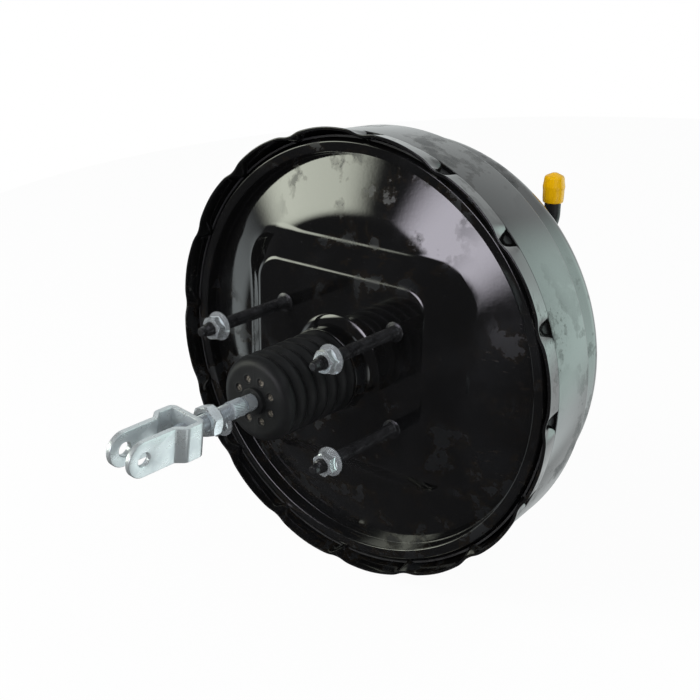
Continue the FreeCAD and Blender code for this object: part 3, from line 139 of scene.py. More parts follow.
def rounded(corners: list[Pair], radii: float | list[float], steps: int = 7) -> Array:
    """Rounds the corners of an open line with arcs tangent to both of its sides.

    The arc at a corner has its centre on the corner's bisector at radius / sin(half angle),
    and goes from one tangent point to the other as a mix of the two spokes by sines.

    Args:
        corners: The line's (radius, station) points, first and last kept sharp.
        radii: One radius for all corners, or one for each point.
        steps: Points on each arc.

    Returns:
        The points of the rounded line.
    """
    p = np.asarray(corners, float)
    r = np.broadcast_to(np.asarray(radii, float), len(p)).copy()
    r[[0, -1]] = 0
    ahead = unit(np.roll(p, -1, axis=0) - p)
    behind = unit(np.roll(p, 1, axis=0) - p)
    half = np.arccos(np.clip((ahead * behind).sum(axis=1), -NEARLY_STRAIGHT, NEARLY_STRAIGHT)) / 2
    trim = (r / np.tan(half))[:, None]
    centre = p + unit(ahead + behind) * (r / np.sin(half))[:, None]
    sweep = (math.pi - 2 * half)[:, None, None]
    t = np.linspace(0, 1, steps)[None, :, None]
    first = (p + behind * trim - centre)[:, None, :]
    last = (p + ahead * trim - centre)[:, None, :]
    arc = (np.sin((1 - t) * sweep) * first + np.sin(t * sweep) * last) / np.sin(sweep)
    line = (centre[:, None, :] + arc).reshape(-1, 2)
    step = np.linalg.norm(np.diff(line, axis=0), axis=1)
    return line[np.r_[True, step > TINY]]


def refined(line: Array, step: float) -> Array:
    """Adds points to a line at even lengths along it, so that none are further apart than step.

    Args:
        line: The line's (radius, station) points.
        step: The widest gap that is left.

    Returns:
        The old and new points in order.
    """
    length = np.r_[0, np.cumsum(np.linalg.norm(np.diff(line, axis=0), axis=1))]
    extra = np.arange(0, length[-1], step)
    places = np.unique(np.round(np.r_[length, extra], 5))
    return np.stack([np.interp(places, length, line[:, k]) for k in range(2)], axis=1)


def turned(
    line: Array,
    columns: int = 96,
    origin: tuple[float, float, float] = (0, 0, 0),
    axis: Axis = Axis.Y,
    closed: bool = True,
) -> Grid:
    """Turns a line about an axis: (r cos a, station, r sin a) about Y, stations up about Z.

    Args:
        line: (radius, station) points.
        columns: Points round the axis.
        origin: Where the axis starts, in millimetres.
        axis: The axis turned about.
        closed: Whether the last row joins the first.

    Returns:
        The grid of the surface.
    """
    points = spun(line[:, :1], line[:, 1:2], full_turn(columns))
    if axis is Axis.Z:
        points = points[..., [0, 2, 1]]
    return Grid(points + np.asarray(origin), wrap_rows=closed)


def hexagon_radius(angle: Array, flats: float) -> Array:
    """Radius of a hexagon at an angle: half the flats over the cosine from the nearest flat."""
    sixth = TURN / 6
    return flats / 2 / np.cos((angle + sixth / 2) % sixth - sixth / 2)


def thread_radius(angle: Array, station: Array, major: Array | float, pitch: float) -> Array:
    """Radius of a vee thread: major, less a cut triangle wave of station / pitch + angle / turn.

    Args:
        angle: Angles round the thread.
        station: Stations along it.
        major: Radius of its crests.
        pitch: Length of one turn.

    Returns:
        The radius at each station and angle.
    """
    phase = (station / pitch + angle / TURN) % 1
    flank = np.clip(1.25 * (1 - np.abs(2 * phase - 1)) - 0.12, 0, 1)
    return major - 0.6 * pitch * flank


def capped(points: Array) -> Grid:
    """Closes a tube's two ends by drawing each end row in to its middle.

    Args:
        points: The tube's rows of points.

    Returns:
        The grid of the closed tube.
    """
    caps = [np.repeat(points[k].mean(axis=0)[None, None, :], points.shape[1], axis=1) for k in (0, -1)]
    return Grid(np.concatenate([caps[0], points, caps[1]]), wrap_rows=False)


def tube(path: Array, radius: float, columns: int) -> Grid:
    """Carries a circle along a path, square to it: path + radius (side cos a + other sin a).

    Args:
        path: Points of the path in millimetres.
        radius: Radius of the tube.
        columns: Points round it.

    Returns:
        The grid of the closed tube.
    """
    tangent = unit(np.gradient(path, axis=0))
    never_along = np.array([0.06, 1.0, 0.02])
    side = unit(np.cross(tangent, never_along))
    other = np.cross(tangent, side)
    angle = full_turn(columns)[..., None]
    ring = side[:, None, :] * np.cos(angle) + other[:, None, :] * np.sin(angle)
    return capped(path[:, None, :] + radius * ring)


def coil(start: float, end: float, radius: float, wire: float, turns: float) -> Grid:
    """A wire coil about Y: a helix whose end turns lie flat and then lift by nearly one wire.

    Args:
        start: Station of the first wire's outer side.
        end: Station of the last wire's outer side.
        radius: Radius of the coil's middle line.
        wire: Radius of the wire.
        turns: Number of turns.

    Returns:
        The grid of the closed wire.
    """
    points_in_turn = 36
    flat_turns = 0.8
    lead = 1.8 * wire
    turn = np.linspace(0, turns, int(turns * points_in_turn))
    rise = np.clip((turn - flat_turns) / (turns - 2 * flat_turns), 0, 1)
    low = start + wire + lead * np.clip(turn / flat_turns, 0, 1)
    high = end - wire - lead * np.clip((turns - turn) / flat_turns, 0, 1)
    station = low * (1 - rise) + high * rise
    angle = TURN * turn
    path = np.stack([radius * np.cos(angle), station, radius * np.sin(angle)], axis=1)
    return tube(path, wire, 12)


# Pieces


def piece(name: str, grids: list[Grid], sharp: float = 42.0) -> bpy.types.Object:
    """Makes one object from closed grids, welded at seams and poles, normals outwards.

    Args:
        name: The object's name.
        grids: Its surfaces.
        sharp: Edges that turn more than this many degrees stay sharp.

    Returns:
        The new object, at the origin, unturned and unscaled.
    """
    first = np.cumsum([0] + [grid.points.shape[0] * grid.points.shape[1] for grid in grids])
    points = np.concatenate([grid.points.reshape(-1, 3) for grid in grids]) * MM
    marks = [np.broadcast_to(grid.mark, grid.points.shape[:2]).ravel() for grid in grids]
    quads = np.concatenate([grid.quads() + start for grid, start in zip(grids, first)])
    mesh = bpy.data.meshes.new(name)
    mesh.vertices.add(len(points))
    mesh.vertices.foreach_set("co", points.ravel())
    mesh.loops.add(quads.size)
    mesh.loops.foreach_set("vertex_index", quads.ravel().astype(np.int32))
    mesh.polygons.add(len(quads))
    mesh.polygons.foreach_set("loop_start", np.arange(0, quads.size, 4, dtype=np.int32))
    mesh.update(calc_edges=True)
    mark = mesh.attributes.new("mark", "FLOAT", "POINT")
    mark.data.foreach_set("value", np.concatenate(marks).astype(np.float32))
    shape = bmesh.new()
    shape.from_mesh(mesh)
    bmesh.ops.remove_doubles(shape, verts=shape.verts, dist=WELD)
    bmesh.ops.recalc_face_normals(shape, faces=shape.faces)
    shape.to_mesh(mesh)
    shape.free()
    mesh.polygons.foreach_set("use_smooth", np.ones(len(mesh.polygons), bool))
    mesh.set_sharp_from_angle(angle=math.radians(sharp))
    mesh.update()
    made = bpy.data.objects.new(name, mesh)
    bpy.context.scene.collection.objects.link(made)
    return made


# Finishes


class Value:
    """A shader socket that can be used in sums."""

    def __init__(self, shader: "Shader", socket: Any) -> None:
        """Keeps the socket and the shader it belongs to."""
        self.shader = shader
        self.socket = socket

    def _maths(self, operation: str, *values: Any) -> "Value":
        """Adds a Math node and returns its result."""
        return self.shader.node("ShaderNodeMath", {"operation": operation}, list(values))

    def __add__(self, other: Any) -> "Value":
        """Returns this plus other."""
        return self._maths("ADD", self, other)

    __radd__ = __add__

    def __mul__(self, other: Any) -> "Value":
        """Returns this times other."""
        return self._maths("MULTIPLY", self, other)

    __rmul__ = __mul__

    def __sub__(self, other: Any) -> "Value":
        """Returns this less other."""
        return self._maths("SUBTRACT", self, other)

    def __rsub__(self, other: Any) -> "Value":
        """Returns other less this."""
        return self._maths("SUBTRACT", other, self)

    def size(self) -> "Value":
        """Returns this without its sign."""
        return self._maths("ABSOLUTE", self)

    def step(self, low: float, high: float) -> "Value":
        """Rises smoothly from 0 at low to 1 at high."""
        settings = {"interpolation_type": "SMOOTHSTEP"}
        return self.shader.node("ShaderNodeMapRange", settings, [self, low, high, 0.0, 1.0])


class Shader:
    """A material's or a world's node tree, built by calls."""

    def __init__(self, owner: bpy.types.Material | bpy.types.World) -> None:
        """Empties the owner's tree and gives it an output.

        Args:
            owner: The material or world.
        """
        owner.use_nodes = True
        self.tree = owner.node_tree
        self.tree.nodes.clear()
        kind = "ShaderNodeOutputWorld" if isinstance(owner, bpy.types.World) else "ShaderNodeOutputMaterial"
        self.output = self.tree.nodes.new(kind)

    def node(self, kind: str, settings: dict[str, Any], inputs: Any, result: int | str = 0) -> Value:
        """Adds a node.

        Args:
            kind: The node's type.
            settings: Its properties, set first.
            inputs: Values or links for its sockets, as a list from the first or a dictionary.
            result: The output that is wanted.

        Returns:
            That output.
        """
        node = self.tree.nodes.new(kind)
        for name, setting in settings.items():
            setattr(node, name, setting)
        pairs = inputs.items() if isinstance(inputs, dict) else enumerate(inputs)
        for name, value in pairs:
            if isinstance(value, Value):
                self.tree.links.new(value.socket, node.inputs[name])
            else:
                node.inputs[name].default_value = value
        return Value(self, node.outputs[result])

    def place(self, scale: tuple = (1, 1, 1), turn: tuple = (0, 0, 0)) -> Value:
        """Returns Object coordinates, scaled and turned."""
        here = self.node("ShaderNodeTexCoord", {}, {}, "Object")
        return self.node("ShaderNodeMapping", {}, {"Vector": here, "Scale": scale, "Rotation": turn})

    def noise(self, scale: float, detail: float = 3.0, rough: float = 0.5, at: Value | None = None) -> Value:
        """Returns a noise value from 0 to 1 at a scale in waves per metre."""
        inputs = {"Vector": at or self.place(), "Scale": scale, "Detail": detail, "Roughness": rough}
        return self.node("ShaderNodeTexNoise", {}, inputs, 0)

    def specks(self, scale: float, size: float) -> Value:
        """Returns 1 in small round specks, about scale of them in each metre."""
        cells = self.node("ShaderNodeTexVoronoi", {}, {"Vector": self.place(), "Scale": scale}, "Distance")
        return 1 - cells.step(size * 0.6, size)

    def mix(self, share: Value | float, first: Any, second: Any) -> Value:
        """Mixes two colours, each a socket or three numbers: first (1 - share) + second share."""
        first, second = (
            colour if isinstance(colour, Value) else (*colour, 1.0) for colour in (first, second)
        )
        return self.node("ShaderNodeMix", {"data_type": "RGBA"}, {0: share, 6: first, 7: second}, 2)

    def mark(self) -> Value:
        """Returns the mark that the piece's grid gave each point."""
        return self.node("ShaderNodeAttribute", {"attribute_name": "mark"}, {}, "Fac")

    def bump(self, height: Value, strength: float, distance: float) -> Value:
        """Returns a normal bumped by a height."""
        inputs = {"Height": height, "Strength": strength, "Distance": distance}
        return self.node("ShaderNodeBump", {}, inputs)

    def surface(self, **sockets: Any) -> None:
        """Ends the tree in a Principled shader.

        Args:
            **sockets: Values for its sockets, named as Blender does but in small letters.
        """
        inputs = {}
        for name, value in sockets.items():
            inputs[name.replace("_", " ").title().replace("Ior", "IOR")] = value
        self.end(self.node("ShaderNodeBsdfPrincipled", {}, inputs))

    def end(self, shade: Value) -> None:
        """Joins a shader to the tree's output."""
        self.tree.links.new(shade.socket, self.output.inputs["Surface"])


@dataclass(frozen=True)
class Finish:
    """A finish: how one material looks, and the slot that it stands for."""

    name: str
    slot: str

    def build(self) -> bpy.types.Material:
        """Makes the material, or finds it when it is already made.

        Returns:
            The material.
        """
        title = f"finish_{self.name}"
        made = bpy.data.materials.get(title)
        if made is None:
            made = bpy.data.materials.new(title)
            self.dress(Shader(made))
        return made

    def dress(self, shader: Shader) -> None:
        """Fills the node tree; each kind of finish has its own.

        Args:
            shader: The material's tree.
        """
        raise NotImplementedError

    def put_on(self, thing: bpy.types.Object) -> bpy.types.Object:
        """Makes this the only material of an object.

        Args:
            thing: The object.

        Returns:
            The same object.
        """
        thing.data.materials.clear()
        thing.data.materials.append(self.build())
        return thing


@dataclass(frozen=True)
class GlossPaint(Finish):
    """Dipped black paint: mirror gloss with faint orange peel, wiped films, streaks and dust, and painted
    shade in the lances' pockets.
    """

    base: tuple = (0.0035, 0.0035, 0.0036)
    film: tuple = (0.009, 0.0096, 0.0106)
    stain: tuple = (0.012, 0.009, 0.006)
    haze: tuple = (0.006, 0.0062, 0.0068)
    dust: tuple = (0.25, 0.25, 0.26)
    # Painted shade: the near-black colour laid into the lance pockets where the shell's mark is set, as if
    # they lay in shadow.
    pocket: tuple = (0.0015, 0.0015, 0.0015)
    gloss: float = 0.06
    coat: float = 0.75

    def dress(self, shader: Shader) -> None:
        """Dulls the black where noise passes a level, so that films show in light and in dark.

        Args:
            shader: The material's tree.
        """
        patch = shader.noise(7.6, 2.0).step(0.4, 0.54)
        level = shader.noise(44.0, 6.0, 0.62)
        blot = level.step(0.56, 0.6) * patch
        border = level.step(0.53, 0.55) * patch - blot
        along = shader.place((0.12, 1.0, 1.0), (0.0, -0.3, 0.0))
        rubbed = shader.noise(13.0, 3.0).step(0.5, 0.62)
        streaks = shader.noise(420.0, 4.0, 0.65, along).step(0.56, 0.66) * rubbed
        haze = shader.noise(16.0, 4.0, 0.6).step(0.45, 0.7)
        dust = shader.specks(260.0, 0.045)
        colour = shader.mix(haze, self.base, self.haze)
        colour = shader.mix(blot, colour, self.film)
        colour = shader.mix(streaks * 0.6 + border * 0.5, colour, self.stain)
        colour = shader.mix(dust * 0.3, colour, self.dust)
        # Painted shade: the mark turns the colour to the near-black pocket colour, darkening the lance
        # hollows as shadow would.
        mark = shader.mark()
        colour = shader.mix(mark, colour, self.pocket)
        dull = 0.26 * blot + 0.16 * streaks + 0.08 * haze + 0.6 * mark
        rough = self.gloss + dull + 0.05 * shader.noise(35.0, 4.0)
        peel = shader.noise(520.0, 2.0, 0.5)
        coat = self.coat - 0.55 * blot - 0.5 * border - 0.5 * streaks - 0.6 * mark
        shader.surface(
            base_color=colour, roughness=rough, specular_ior_level=0.6, coat_weight=coat,
            coat_roughness=0.04, normal=shader.bump(peel, 0.05, 0.0004),
        )


@dataclass(frozen=True)
class Plating(Finish):
    """Plated steel: soft cloudy sheen with fine drag lines."""

    base: tuple = (0.74, 0.79, 0.8)
    cloud: tuple = (0.67, 0.72, 0.74)
    metal: float = 0.66
    gloss: float = 0.18
    pit: tuple = (0.2, 0.21, 0.22)
    grain: tuple = (1.0, 0.12, 1.0)

    def dress(self, shader: Shader) -> None:
        """Mixes two greys by noise and bumps drag lines along the piece.

        Args:
            shader: The material's tree.
        """
        cloud = shader.noise(130.0, 5.0, 0.6)
        lines = shader.noise(2600.0, 3.0, 0.6, shader.place(self.grain))
        pits = shader.specks(700.0, 0.05)
        colour = shader.mix(cloud.step(0.35, 0.7), self.base, self.cloud)
        colour = shader.mix(pits * 0.14, colour, self.pit)
        rough = self.gloss + 0.14 * cloud + 0.08 * lines
        shader.surface(
            base_color=colour, metallic=self.metal, roughness=rough,
            normal=shader.bump(lines, 0.1, 0.0002),
        )


@dataclass(frozen=True)
class Rubber(Finish):
    """Moulded rubber or filled plastic: matte, with a fine grain and faint bloom."""

    base: tuple = (0.008, 0.0083, 0.0087)
    bloom: tuple = (0.014, 0.0145, 0.015)
    gloss: float = 0.4
    seam: bool = False
    dust: tuple = (0.16, 0.16, 0.16)
    foam: tuple = ((0.012, 0.011, 0.01), (0.2, 0.18, 0.15))

    def dress(self, shader: Shader) -> None:
        """Mixes bloom into the base by noise; a seam is a raised line where X is near zero.

        Args:
            shader: The material's tree.
        """
        bloom = shader.noise(60.0, 5.0, 0.6)
        grain = shader.noise(2200.0, 2.0, 0.5)
        dust = shader.specks(420.0, 0.05)
        colour = shader.mix(bloom.step(0.35, 0.75), self.base, self.bloom)
        colour = shader.mix(dust * 0.5, colour, self.dust)
        height = grain * 0.35
        if self.seam:
            across = shader.node("ShaderNodeSeparateXYZ", {}, [shader.place()], "X")
            height = height + (1 - across.size().step(0.0001, 0.0004)) * 2.0
        mark = shader.mark()
        foam = shader.mix(shader.noise(1500.0, 3.0).step(0.35, 0.7), *self.foam)
        colour = shader.mix(mark, colour, foam)
        rough = self.gloss + 0.12 * bloom + 0.3 * mark
        normal = shader.bump(height, 0.15, 0.0002)
        shader.surface(base_color=colour, roughness=rough, specular_ior_level=0.3, normal=normal)


@dataclass(frozen=True)
class Vinyl(Finish):
    """Soft dipped vinyl: deep yellow, glossy, with a slow ripple."""

    base: tuple = (0.95, 0.53, 0.002)
    deep: tuple = (0.88, 0.46, 0.001)

    def dress(self, shader: Shader) -> None:
        """Mixes two yellows and bumps a slow ripple.

        Args:
            shader: The material's tree.
        """
        slow = shader.noise(140.0, 2.0)
        shader.surface(
            base_color=shader.mix(slow, self.base, self.deep), roughness=0.2 + 0.1 * slow,
            specular_ior_level=0.35, coat_weight=0.15, coat_roughness=0.08,
            normal=shader.bump(slow, 0.05, 0.001),
        )


@dataclass(frozen=True)
class Fibre(Finish):
    """Foam or felt: rough, open and dull."""

    base: tuple = (0.3, 0.27, 0.22)
    deep: tuple = (0.09, 0.08, 0.07)
    scale: float = 900.0

    def dress(self, shader: Shader) -> None:
        """Mixes light and dark by cells and bumps them.

        Args:
            shader: The material's tree.
        """
        inputs = {"Vector": shader.place(), "Scale": self.scale}
        cells = shader.node("ShaderNodeTexVoronoi", {}, inputs, "Distance")
        colour = shader.mix(cells.step(0.1, 0.6), self.deep, self.base)
        shader.surface(base_color=colour, roughness=0.95, normal=shader.bump(cells, 0.6, 0.0006))


PAINT = GlossPaint("gloss_black_paint", "painted_steel")
ZINC = Plating("bluish_zinc", "zinc_steel")
ROD_ZINC = Plating("rod_zinc", "zinc_steel", (0.64, 0.69, 0.73), (0.54, 0.59, 0.64), 0.72, 0.14)
NUT_ZINC = Plating("nut_zinc", "zinc_steel", (0.86, 0.91, 0.94), (0.78, 0.83, 0.87), 0.8, 0.08)
OXIDE = Plating("black_oxide", "black_oxide_steel", (0.1, 0.1, 0.105), (0.045, 0.045, 0.048), 0.85, 0.14)
BARE = Plating("bare_steel", "bright_steel", (0.5, 0.5, 0.51), (0.36, 0.36, 0.37), 0.9, 0.3)
SCREW = Plating("screw_steel", "screw_steel", (0.48, 0.48, 0.5), (0.34, 0.34, 0.36), 0.9, 0.26)
SPRING = Plating("spring_wire", "spring_steel", (0.3, 0.31, 0.33), (0.2, 0.2, 0.22), 0.9, 0.32)
ALUMINIUM = Plating("turned_aluminium", "plunger_aluminium", (0.72, 0.72, 0.73), (0.6, 0.6, 0.62), 0.9, 0.3)
BOOT = Rubber("boot_rubber", "boot_rubber", seam=True)
SEAL = Rubber("seal_rubber", "black_rubber", (0.016, 0.016, 0.017), (0.03, 0.03, 0.031), 0.45)
NYLON = Rubber("black_nylon", "black_plastic", (0.012, 0.012, 0.013), (0.02, 0.02, 0.021), 0.32)
THERMOSET = Rubber("filled_thermoset", "moulded_body", (0.06, 0.045, 0.035), (0.09, 0.07, 0.055), 0.4)
BUSH = Rubber("natural_nylon", "guide_plastic", (0.62, 0.59, 0.5), (0.7, 0.67, 0.58), 0.35)
VINYL = Vinyl("yellow_vinyl", "yellow_vinyl")
FOAM = Fibre("filter_foam", "filter_foam")
FELT = Fibre("pressed_felt", "felt", (0.42, 0.39, 0.34), (0.2, 0.18, 0.15), 2200.0)


class Assembly:
    """A sub-assembly: its finished pieces are put on bodies, given finishes and reported."""

    def finish(
        self,
        name: str,
        grids: list[Grid],
        finish: Finish,
        body: str,
        nodes: tuple[str, ...],
        sharp: float = 42.0,
    ) -> bpy.types.Object:
        """Makes a piece, dresses it and puts it in the place of CAD nodes.

        Args:
            name: The piece's name.
            grids: Its surfaces.
            finish: Its finish.
            body: The body that it rides on, or none for a piece that is left unattached.
            nodes: The nodes that it stands for.
            sharp: Degrees past which an edge stays sharp.

        Returns:
            The finished object.
        """
        made = finish.put_on(piece(name, grids, sharp))
        if body:
            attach(made, body)
        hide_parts(*nodes)
        faces = len(made.data.polygons)
        log.info("%s: %d faces on %s for %s", name, faces, body or "two bodies", ", ".join(nodes))
        return made


# Shells


@dataclass
class RearShell(Assembly):
    """Rear shell: neck, drafted boss, dished cone, groove and rim, drawn from one sheet."""

    wall: float = 2.0
    pad: tuple = (67.0, 61.0, 17.0)
    foot: tuple = (85.0, 76.0, 34.0)
    draft: Pair = (1.268, 1.056)
    plateau: Pair = (94.1, 14.2)
    groove: Pair = (130.9, 24.8)
    rim: tuple = (132.4, 138.9, 16.6)
    skirt: tuple = (140.9, 23.0, 28.8)
    neck: tuple = (27.6, 24.6, 21.6)
    neck_stations: tuple = (-15.6, -22.1)
    cove: float = 4.4
    round_from: float = 106.0
    before_groove: float = 1.4
    columns: int = 480

    def outline(self, angle: Array, half: tuple) -> Array:
        """Radius of a rounded rectangle at an angle.

        It is the nearer side along the ray, or in a corner the far root of the ray's meeting
        with the corner's circle: a.c + b.s + sqrt(corner^2 - (a.s - b.c)^2).

        Args:
            angle: Angles from +X towards +Z.
            half: Half width, half height and corner radius.

        Returns:
            The radius at each angle.
        """
        wide, high, corner = half
        c = np.maximum(np.abs(np.cos(angle)), TINY)
        s = np.maximum(np.abs(np.sin(angle)), TINY)
        a, b = wide - corner, high - corner
        side = np.minimum(wide / c, high / s)
        inside = np.clip(corner**2 - (a * s - b * c) ** 2, 0, None)
        turn = a * c + b * s + np.sqrt(inside)
        in_corner = (side * c > a) & (side * s > b)
        return np.where(in_corner, turn, side)

    def height(self, x: Array, z: Array) -> Array:
        """Station of the outer face at a point.

        The cone is level to the plateau's edge and then rises evenly; the boss is level on the
        pad and then falls by its draft with the distance past the corner centres; the face is
        the lower of the two, with both meetings rounded.

        Args:
            x: Across.
            z: Up.

        Returns:
            The station.
        """
        slope = (self.groove[1] - self.plateau[1]) / (self.groove[0] - self.plateau[0])
        radius = np.hypot(x, z)
        cone = self.plateau[1] + slope * smooth_max(0.0, radius - self.plateau[0], 7.0)
        wide = np.maximum(np.abs(x) - (self.pad[0] - self.pad[2]), 0)
        high = np.maximum(np.abs(z) - (self.pad[1] - self.pad[2]), 0)
        past = np.hypot(wide, high) - self.pad[2]
        share = wide**2 / np.maximum(wide**2 + high**2, 1e-9)
        boss = past / (self.draft[0] * share + self.draft[1] * (1 - share))
        return smooth_min(cone, smooth_max(0.0, boss, 1.9), 2.4)

    def rings(self, dense: int) -> tuple[Array, Array]:
        """Rings from the neck's foot to the cone's edge that follow the boss's outlines.

        Args:
            dense: Rings across each rounded edge.

        Returns:
            The rings' x and z.
        """
        angle = full_turn(self.columns)[0]
        flat = np.ones_like(angle)
        pad = self.outline(angle, self.pad)
        foot = self.outline(angle, self.foot)
        stops = [
            (flat * (self.neck[0] + self.cove), 0),
            (pad - 3.0, dense),
            (pad + 2.5, dense),
            (foot - 4.5, dense // 3),
            (foot + 3.5, dense),
            (flat * self.round_from, dense),
            (flat * (self.groove[0] - self.before_groove), dense // 2),
        ]
        rows = [stops[0][0][None, :]]
        for (last, _), (radius, count) in zip(stops, stops[1:]):
            share = np.linspace(0, 1, count + 1)[1:, None]
            rows.append(last * (1 - share) + radius * share)
        radius = np.concatenate(rows)
        return radius * np.cos(angle), radius * np.sin(angle)

    def build(self) -> None:
        """Builds the shell from the neck's end, over the face to the skirt, and back inside."""
        x, z = self.rings(14)
        face = np.stack([x, self.height(x, z), z], axis=-1)
        radius, step, bore = self.neck
        near, far = self.neck_stations
        tube_line = rounded(
            [(bore, far), (step, far), (step, near), (radius, near), (radius, -self.cove),
             (radius + self.cove, 0.0)],
            [0, 0.5, 0.3, 0.8, 3.5, 0],
        )
        inner_rim, outer_rim, rim_station = self.rim
        skirt, skirt_station, skirt_end = self.skirt
        groove, bottom = self.groove
        edge = face[-1, 0, 1]
        w = self.wall
        rim_line = rounded(
            [(groove - self.before_groove, edge), self.groove, (inner_rim, rim_station),
             (outer_rim, rim_station), (skirt, skirt_station), (skirt, skirt_end), (skirt - w, skirt_end),
             (skirt - w, skirt_station), (outer_rim - 1.0, rim_station + w),
             (inner_rim + 1.0, rim_station + w), (groove + 0.5, bottom + w + 0.6),
             (groove - 3, bottom + w - 0.5)],
            [0, 0.5, 1.1, 1.1, 1.2, 0.3, 0.3, 0.8, 0.8, 0.8, 0.8, 0],
        )
        back_x, back_z = self.rings(5)
        back = np.stack([back_x, self.height(back_x, back_z) + w, back_z], axis=-1)[::-1]
        inside = np.array(
            [(radius - w, w), (radius - w, near + w), (step - w, near + w), (step - w, far + w),
             (bore, far + w)]
        )
        columns = self.columns
        rows = [turned(tube_line, columns).points, face[1:], turned(rim_line[1:], columns).points,
                back, turned(inside, columns).points]
        self.finish("rear_shell_skin", [Grid(np.concatenate(rows))], PAINT, "shell", ("rear_shell",), 50)


@dataclass
class FrontShell(Assembly):
    """Front shell: flared lip lanced inward at sixteen places, two stepped drums, cone and nose."""

    wall: float = 2.0
    lip: Pair = (148.0, 9.5)
    band: Pair = (144.8, 25.2)
    drum: Pair = (142.4, 66.5)
    second: float = 134.0
    face: Pair = (100.0, 90.0)
    nose: tuple = (118.0, 58.0, 22.0)
    shoulder: float = 11.0
    lances: int = 16
    first_lance: float = 19.8
    lance_depth: float = 3.6
    lance_wide: Pair = (6.6, 2.2)
    scallop: float = 0.5
    per_lance: int = 34

    def angles(self) -> Array:
        """Angles round the shell, crowded at each lance: 0.3 u + 0.7 u^3 of half a pitch.

        Returns:
            The angles, one row.
        """
        u = np.linspace(-1, 1, self.per_lance, endpoint=False)
        local = (0.3 * u + 0.7 * u**3) * TURN / self.lances / 2
        centres = math.radians(self.first_lance) + np.arange(self.lances) * TURN / self.lances
        return (centres[:, None] + local[None, :]).reshape(1, -1)

    def dent(self, angle: Array, station: Array) -> Array:
        """How far the lip is pushed in.

        A bell of the distance along the lip, narrower and deeper towards the slit and nothing
        past it, with a slow wave that bulges the lip between lances.

        Args:
            angle: Angles, one row.
            station: Stations, one column.

        Returns:
            The inward push in millimetres.
        """
        pitch = TURN / self.lances
        local = (angle - math.radians(self.first_lance) + pitch / 2) % pitch - pitch / 2
        along = local * self.lip[0]
        share = np.clip((station - self.lip[1]) / (self.band[1] - self.lip[1]), 0, 1)
        wide = self.lance_wide[0] - self.lance_wide[1] * share
        depth = self.lance_depth * (0.42 + 0.82 * share)
        bell = depth * np.exp(-np.abs(along / wide) ** 2.4)
        wave = self.scallop * np.cos(local * self.lances) * (1 - share)
        held = 1 - smooth_step(self.band[1] - 0.55, self.band[1] - 0.25, station)
        return (bell + wave) * held

    def build(self) -> None:
        """Builds the shell from the lip's edge, over the outside to the nose, and back inside."""
        angle = self.angles()
        w = self.wall
        lip, start = self.lip
        band, line = self.band
        drum, step = self.drum
        plane, cone = self.face
        nose_station, nose, bore = self.nose
        flare = (lip - band) / (line - start)
        outer = rounded(
            [(lip - w, start), (lip, start), (band + 0.35 * flare, line - 0.35), (band - 0.35, line - 0.1),
             (band - 0.2, line + 0.6), (drum, step), (self.second, step - 0.1), (self.second, plane),
             (cone, plane), (nose, nose_station), (bore, nose_station), (bore, nose_station - w)],
            [0, 0.5, 0.1, 0.1, 0.3, 2.6, 1.2, self.shoulder, 4, 5, 0.4, 0],
        )
        inner = rounded(
            [(bore, nose_station - w), (nose - 1, nose_station - w), (cone - 1, plane - w),
             (self.second - w, plane - w), (self.second - w, step + w), (drum - w, step + w),
             (band - w, line), (lip - w, start)],
            [0, 5, 4, self.shoulder - w, 1.5, 0.8, 2, 0],
            5,
        )
        lanced = outer[:, 1] < line + 0.8
        near = refined(outer[lanced], 0.9)
        far = refined(outer[~lanced], 6.0)
        drawn = np.concatenate([near, far, refined(inner, 5.0)[1:-1]])
        station = drawn[:, 1:2]
        lipward = drawn[:, :1] > self.second + 2
        dent = self.dent(angle, station)
        radius = drawn[:, :1] - dent * lipward
        # The mark paints shade: it darkens the paint in each lance's pocket near the slit, where the hollow
        # would lie in shadow.
        pocket = smooth_step(1.2, 2.6, dent) * smooth_step(line - 3.5, line - 1.0, station)
        mark = 0.85 * pocket * (station < line + 0.05) * lipward
        grid = Grid(spun(radius, station, angle), mark=mark)
        self.finish("front_shell_skin", [grid], PAINT, "shell", ("front_shell",), 50)


# Fasteners


